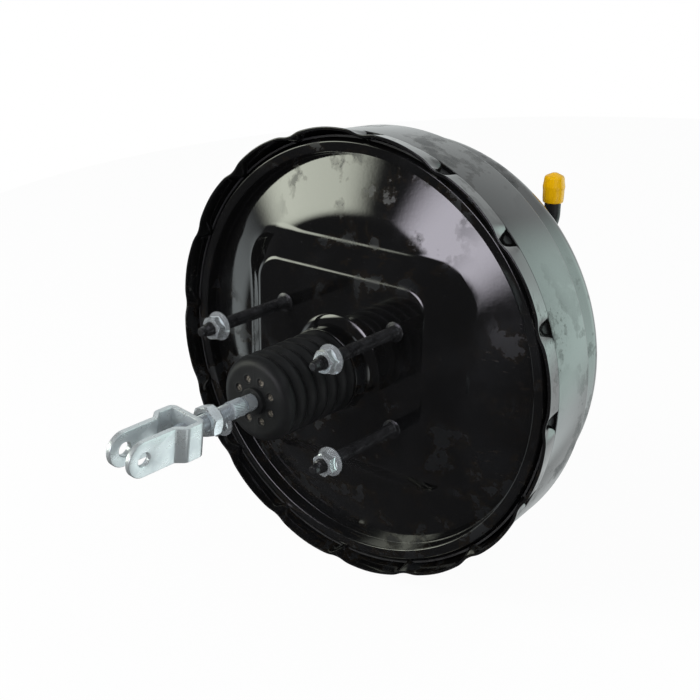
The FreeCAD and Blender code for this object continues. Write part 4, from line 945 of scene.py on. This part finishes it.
@dataclass
class Fasteners(Assembly):
    """Four threaded studs with pilot points and their flange nuts."""

    half: Pair = (44.0, 32.0)
    stud: float = 4.0
    pitch: float = 1.25
    end: float = -72.7
    pilot: Pair = (2.9, 4.0)
    head: Pair = (8.0, 4.6)
    collar: float = 6.5
    nut_station: float = -60.1
    nut_height: float = 8.0
    flats: float = 13.0
    flange: float = 8.95
    cone: tuple = (7.1, 5.3, 1.02)
    chamfer: Pair = (0.15, 1.55)
    bore: tuple = (3.98, 4.3, 4.6)

    def spots(self) -> list[Pair]:
        """Returns the four studs' places."""
        x, z = self.half
        return [(a * x, b * z) for a in (1, -1) for b in (1, -1)]

    def stud_grid(self, x: float, z: float) -> Grid:
        """A stud: head, collar, threaded shank whose radius is the thread's, and pilot point.

        Args:
            x: Its place across.
            z: Its place up.

        Returns:
            The closed stud.
        """
        reach, height = self.head
        pilot, length = self.pilot
        tip = rounded(
            [(self.stud - 0.9, self.end), (pilot, self.end - 0.5), (pilot, self.end - length + 0.7),
             (pilot - 0.7, self.end - length), (0.0, self.end - length)],
            0.3,
        )
        root = rounded(
            [(0.0, height), (reach, height), (reach, 2.0), (self.collar, 2.0), (self.collar, -0.5),
             (self.stud + 0.6, -0.8), (self.stud, -1.2)],
            [0, 0.8, 0.2, 0.1, 0.5, 0.2, 0],
        )
        columns = 28
        angle = full_turn(columns)
        station = np.linspace(-1.2, self.end, int(-self.end / self.pitch * 7))[:, None]
        fade = np.clip((station - self.end) / 1.2, 0, 1) * 0.9 + 0.1
        major = self.stud - 0.7 * (1 - fade)
        radius = np.maximum(thread_radius(angle, station, major, self.pitch), self.stud - 0.9)
        shank = spun(radius, station, angle)
        rows = [turned(root, columns).points, shank[1:], turned(tip, columns).points]
        return Grid(np.concatenate(rows) + np.array([x, 0, z]), wrap_rows=False)

    def nut_grid(self, x: float, z: float, spin: float) -> Grid:
        """A flange nut: the hexagon's radius, cut by the chamfer cone and met by the flange cone.

        Args:
            x: Its place across.
            z: Its place up.
            spin: How far it is turned, in radians.

        Returns:
            The closed nut.
        """
        columns = 96
        angle = full_turn(columns)
        bands = [np.zeros(1), np.linspace(0.02, 1.0, 8), np.linspace(1.2, 5.2, 5), np.linspace(5.4, 7.2, 8)]
        depth = np.concatenate(bands)[:, None]
        inset, slope = self.chamfer
        sides = np.minimum(hexagon_radius(angle + spin, self.flats), self.flats / 2 - inset + slope * depth)
        reach, level, spread = self.cone
        skirt = reach + spread * (depth - level)
        sides = smooth_max(sides, np.broadcast_to(skirt, sides.shape), 0.5)
        bottom = self.nut_station
        top = bottom - self.nut_height
        body = spun(sides, top + depth, angle)
        last = float(sides[-1].max())
        hole, mouth, top_mouth = self.bore
        foot = [(last, bottom - 0.8), (self.flange, bottom - 0.6), (self.flange, bottom), (mouth, bottom)]
        rim = rounded(foot, 0.25, 4)
        bore = np.array([(mouth, bottom), (hole, bottom - 0.6), (hole, top + 0.8), (top_mouth, top)])
        rows = [body, turned(rim, columns).points, turned(bore, columns).points]
        return Grid(np.concatenate(rows) + np.array([x, 0, z]))

    def build(self) -> None:
        """Builds the studs and the nuts, each nut turned by its own angle."""
        studs = [self.stud_grid(x, z) for x, z in self.spots()]
        self.finish("threaded_studs", studs, OXIDE, "shell", ("firewall_studs",), 60)
        nuts = [self.nut_grid(x, z, 0.35 + 0.5 * k) for k, (x, z) in enumerate(self.spots())]
        self.finish("hexagon_flange_nuts", nuts, NUT_ZINC, "shell", ("flange_nuts",), 28)


# Boot


@dataclass
class DustBoot(Assembly):
    """Bellows boot: six round folds, a domed end with eight vents and a collar on the rod."""

    crest: float = 26.6
    depth: float = 3.9
    first: float = -23.4
    pitch: float = 9.6
    folds: int = 6
    face: float = -77.3
    flat: float = 20.3
    collar: tuple = (8.3, 5.3, 2.6)
    step: Pair = (24.63, -15.63)
    wall: float = 1.3
    thin: float = 0.95
    lip: float = 0.6
    gap: float = 0.08
    vents: int = 8
    vent: Pair = (13.2, 2.45)
    vent_depth: float = 0.88
    vent_rim: Pair = (0.15, 0.35)
    columns: int = 240

    def fold_line(self, shrink: float, start: float, end: float, count: int) -> Array:
        """The folds: crest less depth times one minus a flattened cosine of the fold's phase.

        Args:
            shrink: How far inside the outer face the line lies.
            start: The first station.
            end: The last station.
            count: Points in the line.

        Returns:
            The line's (radius, station) points.
        """
        station = np.linspace(start, end, count)
        phase = (station - self.first) / self.pitch
        swing = np.abs(np.cos(math.pi * phase)) ** 0.75
        return np.stack([self.crest - shrink - self.depth * (1 - swing), station], axis=1)

    def end_grid(self, last: float, seam: float) -> Grid:
        """The end round the rod: collar, face with its vents, dome, and a lip under the bellows.

        Args:
            last: The last crest's station.
            seam: Where the bellows begins.

        Returns:
            The closed end, with the vents' foam marked.
        """
        outer, hole, length = self.collar
        sweep = np.linspace(0, math.pi / 2, 12)[1:, None]
        dome = np.concatenate(
            [self.flat + (self.crest - self.flat) * np.sin(sweep),
             self.face + (last - self.face) * (1 - np.cos(sweep))], axis=1
        )
        collar = rounded([(hole, self.face - length), (outer, self.face - length), (outer, self.face)], 0.5)
        face = np.stack([np.linspace(outer + 0.3, self.flat, 34), np.full(34, self.face)], axis=1)
        under = self.wall + self.gap
        shoulder = seam - 0.05
        fold = self.fold_line(0.0, last, shoulder, 10)
        lip = self.fold_line(under, shoulder, seam + self.lip, 6)
        inside = self.fold_line(under + 0.4, last, seam + self.lip, 8)[::-1]
        shut = np.array([(self.flat, self.face + self.thin), (hole, self.face + self.thin)])
        grid = turned(np.concatenate([collar, face, dome, fold[1:], lip, inside, shut]), self.columns)
        self.sink_vents(grid)
        return grid

    def sink_vents(self, grid: Grid) -> None:
        """Sinks the vents into the flat face, each inside a raised rim, and marks their foam.

        A point's distance from the nearest vent is found in the sector that the vent has to itself.

        Args:
            grid: The end's grid, changed in place.
        """
        x, z = grid.points[..., 0], grid.points[..., 2]
        radius, size = self.vent
        pitch = TURN / self.vents
        angle = (np.arctan2(z, x)) % pitch - pitch / 2
        away = np.hypot(np.hypot(x, z) - radius, angle * radius)
        on_face = np.abs(grid.points[..., 1] - self.face) < TINY
        proud, soft = self.vent_rim
        pocket = (1 - smooth_step(size - soft, size, away)) * on_face
        rim = np.exp(-(((away - size - soft) / soft) ** 2)) * on_face
        grid.points[..., 1] += self.vent_depth * pocket - proud * rim
        grid.mark = (1 - smooth_step(size - 2 * soft, size - 0.25, away)) * on_face

    def bellows_grid(self, seam: float) -> Grid:
        """The folds from the seam to the mouth on the shell's tube, and back inside.

        Args:
            seam: Where the bellows begins.

        Returns:
            The closed bellows.
        """
        mouth, edge = self.step
        ends = rounded(
            [(self.crest - 1.4, self.first + 3.2), (self.crest, edge - 1.4), (self.crest, edge),
             (mouth, edge), (mouth, edge - 6.4)],
            [0, 0.6, 0.5, 0.2, 0], 5,
        )
        folds = self.fold_line(0.0, seam, self.first, self.folds * 18)
        inside = self.fold_line(self.wall, seam, self.first, self.folds * 6)[::-1]
        return turned(np.concatenate([folds, ends, inside]), self.columns)

    def build(self) -> None:
        """Builds the bellows and its end, each baked where it stands."""
        last = self.first - (self.folds - 1) * self.pitch
        seam = last + self.pitch / 2
        edge = self.step[1]
        folds = self.finish("bellows_boot", [self.bellows_grid(seam)], BOOT, "", ("dust_boot",), 60)
        edge * MM - 0.004
        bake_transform(folds)
        end = self.finish("boot_end", [self.end_grid(last, seam)], BOOT, "", ("dust_boot",), 60)
        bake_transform(end)


# Push rod and clevis


@dataclass
class PushRod(Assembly):
    """Push rod with ball end, diagonal knurl and thread, its lock nut and the fork."""

    radius: float = 5.0
    ball: Pair = (5.0, 4.0)
    neck: Pair = (3.4, -16.0)
    knurl: tuple = (5.6, -87.9, 11.4, 34)
    end: float = -139.5
    pitch: float = 1.5
    lean: float = 0.035
    nut: tuple = (-119.3, 7.5, 17.0)
    nut_turn: float = 0.2
    nut_bore: Pair = (5.02, 5.8)

    def rod_grid(self) -> Grid:
        """The rod as radius over (station, angle): ball, neck, shank, knurl and thread.

        The knurl's ridges are |sin| of half their number times the angle, which leans with the station.

        Returns:
            The closed rod.
        """
        size, middle = self.ball
        neck, shoulder = self.neck
        lean = np.linspace(0, math.pi - math.asin(neck / size), 14)
        front = np.stack([size * np.sin(lean), middle + size * np.cos(lean)], axis=1)
        top, start, length, ridges = self.knurl
        plain = rounded(
            [tuple(front[-1]), (neck, shoulder + 1.6), (self.radius, shoulder), (self.radius, start + 0.8),
             (top - 0.3, start)],
            0.5,
        )
        columns = 170
        angle = full_turn(columns)
        stop = start - length
        along = np.linspace(start, stop, 46)[:, None]
        ends = smooth_step(0, 0.9, start - along) * smooth_step(0, 0.9, along - stop)
        wave = np.abs(np.sin((angle + (along - start) * self.lean) * ridges / 2))
        knurl = self.radius - 0.1 + (top - self.radius) * ends * (0.5 + 0.5 * wave)
        rows_of_thread = int((stop - self.end) / self.pitch * 9)
        station = np.linspace(stop - 0.3, self.end + 0.8, rows_of_thread)[:, None]
        thread = thread_radius(angle, station, self.radius, self.pitch)
        cut = spun(np.concatenate([knurl, thread]), np.concatenate([along, station]), angle)
        tip = rounded(
            [(self.radius - 0.9, self.end + 0.4), (self.radius - 1.2, self.end), (0.0, self.end)], 0.1
        )
        rows = [turned(np.concatenate([front, plain[1:]]), columns).points, cut, turned(tip, columns).points]
        return Grid(np.concatenate(rows), wrap_rows=False)

    def nut_grid(self) -> Grid:
        """The lock nut: the hexagon's radius cut by a chamfer cone at both faces.

        Returns:
            The closed nut.
        """
        start, height, flats = self.nut
        columns = 120
        angle = full_turn(columns)
        near_face = np.linspace(0.02, 1.3, 8)
        depth = np.r_[0.0, near_face, height / 2, height - near_face[::-1], height][:, None]
        nearest = np.minimum(depth, height - depth)
        sides = np.minimum(hexagon_radius(angle + self.nut_turn, flats), flats / 2 - 0.25 + 1.5 * nearest)
        hole, mouth = self.nut_bore
        bore = np.array(
            [(mouth, start + height), (hole, start + height - 0.8), (hole, start + 0.8), (mouth, start)]
        )
        return Grid(np.concatenate([spun(sides, start + depth, angle), turned(bore, columns).points]))

    def build(self) -> None:
        """Builds the rod and its lock nut."""
        self.finish("threaded_push_rod", [self.rod_grid()], ROD_ZINC, "push_rod", ("push_rod",), 60)
        self.finish("lock_nut", [self.nut_grid()], NUT_ZINC, "push_rod", ("rod_lock_nut",), 26)


@dataclass
class Clevis(Assembly):
    """Fork folded from strip: bridge with the rod's bore, joggled ears with round ends and pin holes."""

    wall: float = 3.3
    bridge: float = -130.6
    wide: float = 13.6
    half: float = 9.1
    joggle: Pair = (-144.6, -150.1)
    pin: tuple = (-172.1, 4.1)
    ear: float = 10.7
    turn: float = 7.0
    edge: float = 0.55

    def section(self, inner: Array, outer: Array, steps: int = 5) -> tuple[Array, Array]:
        """A rounded rectangle from inner to outer, one wall thick, as a closed loop.

        Args:
            inner: Where each section starts.
            outer: Where it ends.
            steps: Points on each rounded corner.

        Returns:
            The loop's places between inner and outer, and its offsets from the middle face.
        """
        t = np.linspace(0, math.pi / 2, steps)
        r, h = self.edge, self.wall / 2
        corner = [(1, 1, t), (-1, 1, t + math.pi / 2), (-1, -1, t + math.pi), (1, -1, t + 1.5 * math.pi)]
        across, offset = [], []
        for way, lift, a in corner:
            base = outer - r if way > 0 else inner + r
            across.append(base[:, None] + r * np.cos(a)[None, :])
            offset.append(np.broadcast_to(lift * (h - r) + r * np.sin(a), across[-1].shape))
        return np.concatenate(across, axis=1), np.concatenate(offset, axis=1)

    def ear_grid(self, side: int) -> Grid:
        """An ear: sections on spokes from the pin hole to a round end and a straight joint.

        Args:
            side: 1 for the ear at +X, -1 for the other.

        Returns:
            The closed ear.
        """
        station, hole = self.pin
        joint = self.joggle[1] + 0.3 - station
        angle = full_turn(144)[0]
        c, s = np.cos(angle), np.sin(angle)
        reach = np.minimum(self.ear / np.maximum(np.abs(s), TINY), joint / np.maximum(c, TINY))
        reach = np.where(c > 0, reach, self.ear)
        across, offset = self.section(np.full_like(angle, hole), reach)
        middle = side * (self.half - self.wall / 2)
        points = [middle + side * offset, station + across * c[:, None], across * s[:, None]]
        return Grid(np.stack(points, axis=-1))

    def strip_grid(self) -> Grid:
        """The folded strip: a rounded section carried along the line from joint to joint.

        Returns:
            The closed strip.
        """
        h = self.wall / 2
        x, wide, y = self.half - h, self.wide - h, self.bridge - h
        low, high = self.joggle[1], self.joggle[0]
        right = [(x, low - 0.6), (x, low + 0.9), (wide, high + 0.6), (wide, y)]
        corners = right + [(-across, station) for across, station in right[::-1]]
        line = refined(rounded(corners, [0, 3.2, 3.2, 2.7, 2.7, 3.2, 3.2, 0], 10), 3.0)
        tangent = unit(np.gradient(line, axis=0))
        normal = np.stack([tangent[:, 1], -tangent[:, 0]], axis=1)
        ends = np.ones(len(line))
        across, offset = self.section(-self.ear * ends, self.ear * ends)
        points = [line[:, :1] + normal[:, :1] * offset, line[:, 1:] + normal[:, 1:] * offset, across]
        return capped(np.stack(points, axis=-1))

    def build(self) -> None:
        """Builds the fork and turns it about the rod."""
        grids = [self.ear_grid(1), self.ear_grid(-1), self.strip_grid()]
        turn = np.array(Matrix.Rotation(math.radians(self.turn), 3, "Y"))
        for grid in grids:
            grid.points = grid.points @ turn.T
        self.finish("folded_fork", grids, ZINC, "push_rod", ("clevis",), 40)


# Vacuum elbow


@dataclass
class VacuumElbow(Assembly):
    """Elbow with its pipe and the soft cap over the nipple."""

    place: tuple = (75.0, 0.0, 78.0)
    lid: tuple = (12.6, 113.0, 114.9)
    station: float = 127.7
    bend: float = 9.0
    radius: float = 5.3
    barb: float = 5.8
    top: float = 110.0
    bottom: float = 94.0

    def pipe_path(self) -> Array:
        """Straight out of the lid, a quarter turn of the bend radius, and straight up.

        Returns:
            The pipe's middle line.
        """
        x, _, z = self.place
        lean = np.linspace(0, math.pi / 2, 24)
        y = self.station - self.bend + self.bend * np.sin(lean)
        up = z + self.bend - self.bend * np.cos(lean)
        path = np.stack([np.full_like(y, x), y, up], axis=1)
        return np.concatenate([[(x, self.lid[1] + 0.4, z)], path, [(x, self.station, self.top)]])

    def build(self) -> None:
        """Builds the elbow and the cap."""
        reach, low, high = self.lid
        plate = rounded([(0.0, low), (reach, low), (reach, high), (0.0, high)], 0.5)
        lid = turned(plate, 96, self.place, closed=False)
        pipe = tube(self.pipe_path(), self.radius, 48)
        nipple = (self.place[0], self.station, 0)
        top, start = self.top, self.top - 4.0
        barb = rounded([(0, start), (self.barb, start), (self.radius, top), (0, top)], 0.4)
        bead = turned(barb, 48, nipple, Axis.Z, closed=False)
        self.finish("vacuum_elbow_skin", [lid, pipe, bead], NYLON, "shell", ("vacuum_elbow",), 40)
        bore = self.barb + 0.07
        outside = rounded(
            [(bore, 0.0), (6.55, 0.0), (6.85, 3.0), (6.95, 8.0), (7.25, 10.6), (6.75, 13.5), (6.45, 16.2),
             (5.9, 17.3), (1.6, 19.35), (0.0, 19.5)],
            [0, 0.9, 4, 6, 1.6, 2.5, 1.5, 1.6, 1.5, 0], 9,
        )
        shape = outside + np.array([0, self.bottom])
        inside = np.array([(0.0, top + 0.1), (bore, top + 0.1), (bore, self.bottom)])
        cap = turned(np.concatenate([shape, inside]), 96, nipple, Axis.Z)
        self.finish("soft_cap", [cap], VINYL, "vacuum_cap", ("vacuum_cap",), 50)


# Inside


@dataclass
class Inside(Assembly):
    """Springs as coils, the rolling diaphragm, and finishes for the turned pieces inside."""

    def springs(self) -> None:
        """Builds the four coils: two between fixed stations, two as long as their nodes' boxes."""
        grid = coil(15.7, 112.9, 28.5, 1.7, 6.5)
        main = self.finish("return_coil", [grid], SPRING, "", ("piston_return_spring",))
        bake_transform(main)
        grid = coil(-42.0, -20.0, 8.6, 0.8, 6)
        rod = self.finish("rod_coil", [grid], SPRING, "", ("rod_return_spring",))
        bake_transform(rod)
        low, high = (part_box("poppet_spring")[k].y / MM for k in (0, 1))
        grid = coil(low, high, 10.6, 0.55, 5)
        self.finish("poppet_coil", [grid], SPRING, "power_piston", ("poppet_spring",))
        low, high = (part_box("check_valve_spring")[k].y / MM for k in (0, 1))
        grid = coil(low, high, 5.4, 0.35, 4.5)
        grid.points = grid.points + np.array(VacuumElbow.place)
        check = self.finish("check_coil", [grid], SPRING, "", ("check_valve_spring",))
        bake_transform(check)

    def diaphragm(self) -> None:
        """Builds the diaphragm in two: a web on the piston, and a wall that stretches to its bead."""
        web = rounded(
            [(36.3, 11.9), (57.5, 11.9), (79.6, 20.1), (121.1, 30.5), (121.1, 44.0), (126.0, 44.0),
             (126.0, 45.8), (119.3, 45.8), (119.3, 31.9), (79.1, 21.8), (57.2, 13.7), (36.3, 13.7)],
            [0, 3, 6, 2, 1, 0, 0, 2, 3, 6, 3, 0],
            5,
        )
        wall = rounded(
            [(126.0, 45.8), (126.0, 44.0), (129.6, 44.0), (130.9, 29.1), (141.05, 29.1), (141.05, 18.6),
             (142.3, 18.6), (142.3, 24.8), (141.7, 30.9), (132.7, 30.9), (131.4, 45.8)],
            [0, 0, 1, 2, 1, 0, 0, 0, 0.5, 1, 2],
            5,
        )
        self.finish("diaphragm_web", [turned(web, 200)], SEAL, "power_piston", ("diaphragm",), 50)
        outer = self.finish("diaphragm_wall", [turned(wall, 200)], SEAL, "", ("diaphragm",), 50)
        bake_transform(outer)

    def dress_nodes(self) -> None:
        """Puts finishes on the nodes whose shapes stay."""
        finishes = {
            OXIDE: ("master_cylinder_studs",),
            ZINC: ("front_reinforcement_plate",),
            BARE: ("rear_seal_retainer", "diaphragm_support_plate", "output_rod", "output_rod_cover",
                   "rod_spring_seat", "poppet_cup", "stop_key"),
            SCREW: ("output_rod_screw",),
            SEAL: ("rear_tube_seal", "front_seal", "reaction_disc", "poppet_valve", "vacuum_grommet",
                   "check_valve_disc"),
            THERMOSET: ("valve_body",),
            BUSH: ("rear_guide_bush",),
            ALUMINIUM: ("valve_plunger",),
            NYLON: ("check_valve_housing",),
            FOAM: ("air_filter",),
            FELT: ("silencer_felt",),
        }
        for finish, names in finishes.items():
            for name in names:
                finish.put_on(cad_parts[name])
                log.info("%s: finish %s", name, finish.name)

    def build(self) -> None:
        """Builds the springs and dresses what stays."""
        self.springs()
        self.diaphragm()
        self.dress_nodes()


# Studio


class SoftBox(Enum):
    """Soft boxes: the way to each, the cosines where its light starts and is full, and its light."""

    LEFT = (-0.93, -0.22, -0.28), 0.93, 0.99, (0.65, 0.71, 0.72)
    FRONT_LEFT = (-0.76, -0.63, 0.16), 0.95, 0.992, (4.5, 4.7, 4.0)
    FRONT = (-0.22, -0.965, 0.12), 0.965, 0.997, (5.2, 5.0, 5.6)
    RIGHT = (0.93, -0.25, -0.27), 0.94, 0.985, (0.9, 0.95, 0.95)
    BACK_LOW = (0.42, 0.7, -0.56), 0.92, 0.98, (1.2, 1.3, 1.3)
    TOP = (0.6, -0.1, 0.8), 0.9, 0.97, (0.7, 0.75, 0.8)
    BACK_RIGHT = (0.56, 0.72, 0.05), 0.8, 0.97, (1.5, 1.85, 1.75)


@dataclass
class Studio:
    """Pale floor, white surroundings with soft boxes, and the camera at the photograph's angle."""

    camera_place: tuple = (0.45296, -0.56029, 0.27806)
    back: tuple = (0.5813, -0.7352, 0.3489)
    roll: float = 0.746
    lens: float = 62.65
    floor_level: float = -0.1495
    floor_size: Pair = (1150.0, 4.0)
    floor_back: float = 900.0
    floor_white: float = 0.96

    def camera(self) -> None:
        """Places the camera: right and up square to the line of sight, then rolled."""
        back = Vector(self.back).normalized()
        right = Vector((-back.y, back.x, 0)).normalized()
        up = back.cross(right)
        roll = math.radians(self.roll)
        side = math.cos(roll) * right + math.sin(roll) * up
        top = -math.sin(roll) * right + math.cos(roll) * up
        turn = Matrix((side, top, back)).transposed().to_4x4()
        data = bpy.data.cameras.new("camera")
        data.lens = self.lens
        data.sensor_width = 36.0
        data.clip_start = 0.01
        made = bpy.data.objects.new("camera", data)
        made.matrix_world = Matrix.Translation(self.camera_place) @ turn
        bpy.context.scene.collection.objects.link(made)
        bpy.context.scene.camera = made

    def world(self) -> None:
        """White for the camera; for reflections, white behind and soft boxes in the dark front."""
        world = bpy.data.worlds.new("studio")
        bpy.context.scene.world = world
        shader = Shader(world)
        direction = shader.node("ShaderNodeTexCoord", {}, {}, "Generated")

        def facing(towards: tuple) -> Value:
            """Returns the cosine between the way that is looked and another way."""
            way = tuple(Vector(towards).normalized())
            dot = {"operation": "DOT_PRODUCT"}
            return shader.node("ShaderNodeVectorMath", dot, [direction, way], "Value")

        behind = facing((-0.02, 0.95, 0.28)).step(0.3, 0.78)
        colour = shader.mix(behind, (0.04, 0.04, 0.042), (0.6, 0.63, 0.63))
        for box in SoftBox:
            towards, start, full, light = box.value
            colour = shader.mix(facing(towards).step(start, full), colour, light)
        camera = shader.node("ShaderNodeLightPath", {}, {}, "Is Camera Ray")
        colour = shader.mix(camera, colour, (1.0, 1.0, 1.0))
        shader.end(shader.node("ShaderNodeBackground", {}, [colour, 1.0]))

    def lamp(self, name: str, place: tuple, size: float, power: float) -> None:
        """Adds a square area lamp that points at the object and isn't mirrored in the gloss.

        Args:
            name: The lamp's name.
            place: Where it stands, in metres.
            size: Its side in metres.
            power: Its power in watts.
        """
        data = bpy.data.lights.new(name, "AREA")
        data.energy = power
        data.size = size
        made = bpy.data.objects.new(name, data)
        aim = Vector((0, -0.02, 0)) - Vector(place)
        made.matrix_world = Matrix.Translation(place) @ aim.to_track_quat("-Z", "Y").to_matrix().to_4x4()
        made.visible_glossy = False
        bpy.context.scene.collection.objects.link(made)

    def floor(self) -> None:
        """A pale round floor under and behind the object, near white to the camera."""
        reach, thick = self.floor_size
        line = np.array([(0.0, 0.0), (reach, 0.0), (reach, -thick), (0.0, -thick)])
        middle = (0.0, self.floor_back, self.floor_level / MM)
        made = piece("floor", [turned(line, 96, middle, Axis.Z, closed=False)])
        material = bpy.data.materials.new("pale_floor")
        shader = Shader(material)
        plain = shader.node("ShaderNodeBsdfDiffuse", {}, [(0.9, 0.9, 0.9, 1.0)])
        white = shader.node("ShaderNodeEmission", {}, [(1.0, 1.0, 1.0, 1.0), 1.0])
        camera = shader.node("ShaderNodeLightPath", {}, {}, "Is Camera Ray")
        shader.end(shader.node("ShaderNodeMixShader", {}, [camera * self.floor_white, plain, white]))
        made.data.materials.append(material)
        made.visible_glossy = False

    def build(self) -> None:
        """Builds the camera, the surroundings, the lamps and the floor."""
        self.camera()
        self.world()
        self.lamp("key", (-0.6, -1.1, 1.1), 0.9, 18.0)
        self.lamp("fill", (1.2, -0.9, 0.5), 1.2, 10.0)
        self.floor()
        bpy.context.scene.view_settings.view_transform = "Standard"


def main() -> None:
    """Builds each sub-assembly in order."""
    logging.basicConfig(level=logging.INFO, format="%(message)s")
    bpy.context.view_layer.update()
    Studio().build()
    kinds = (RearShell, FrontShell, Fasteners, DustBoot, PushRod, Clevis, VacuumElbow, Inside)
    for assembly in (kind() for kind in kinds):
        assembly.build()
        log.info("%s done", type(assembly).__name__)
    bpy.context.view_layer.update()


if __name__ == "__main__":
    main()
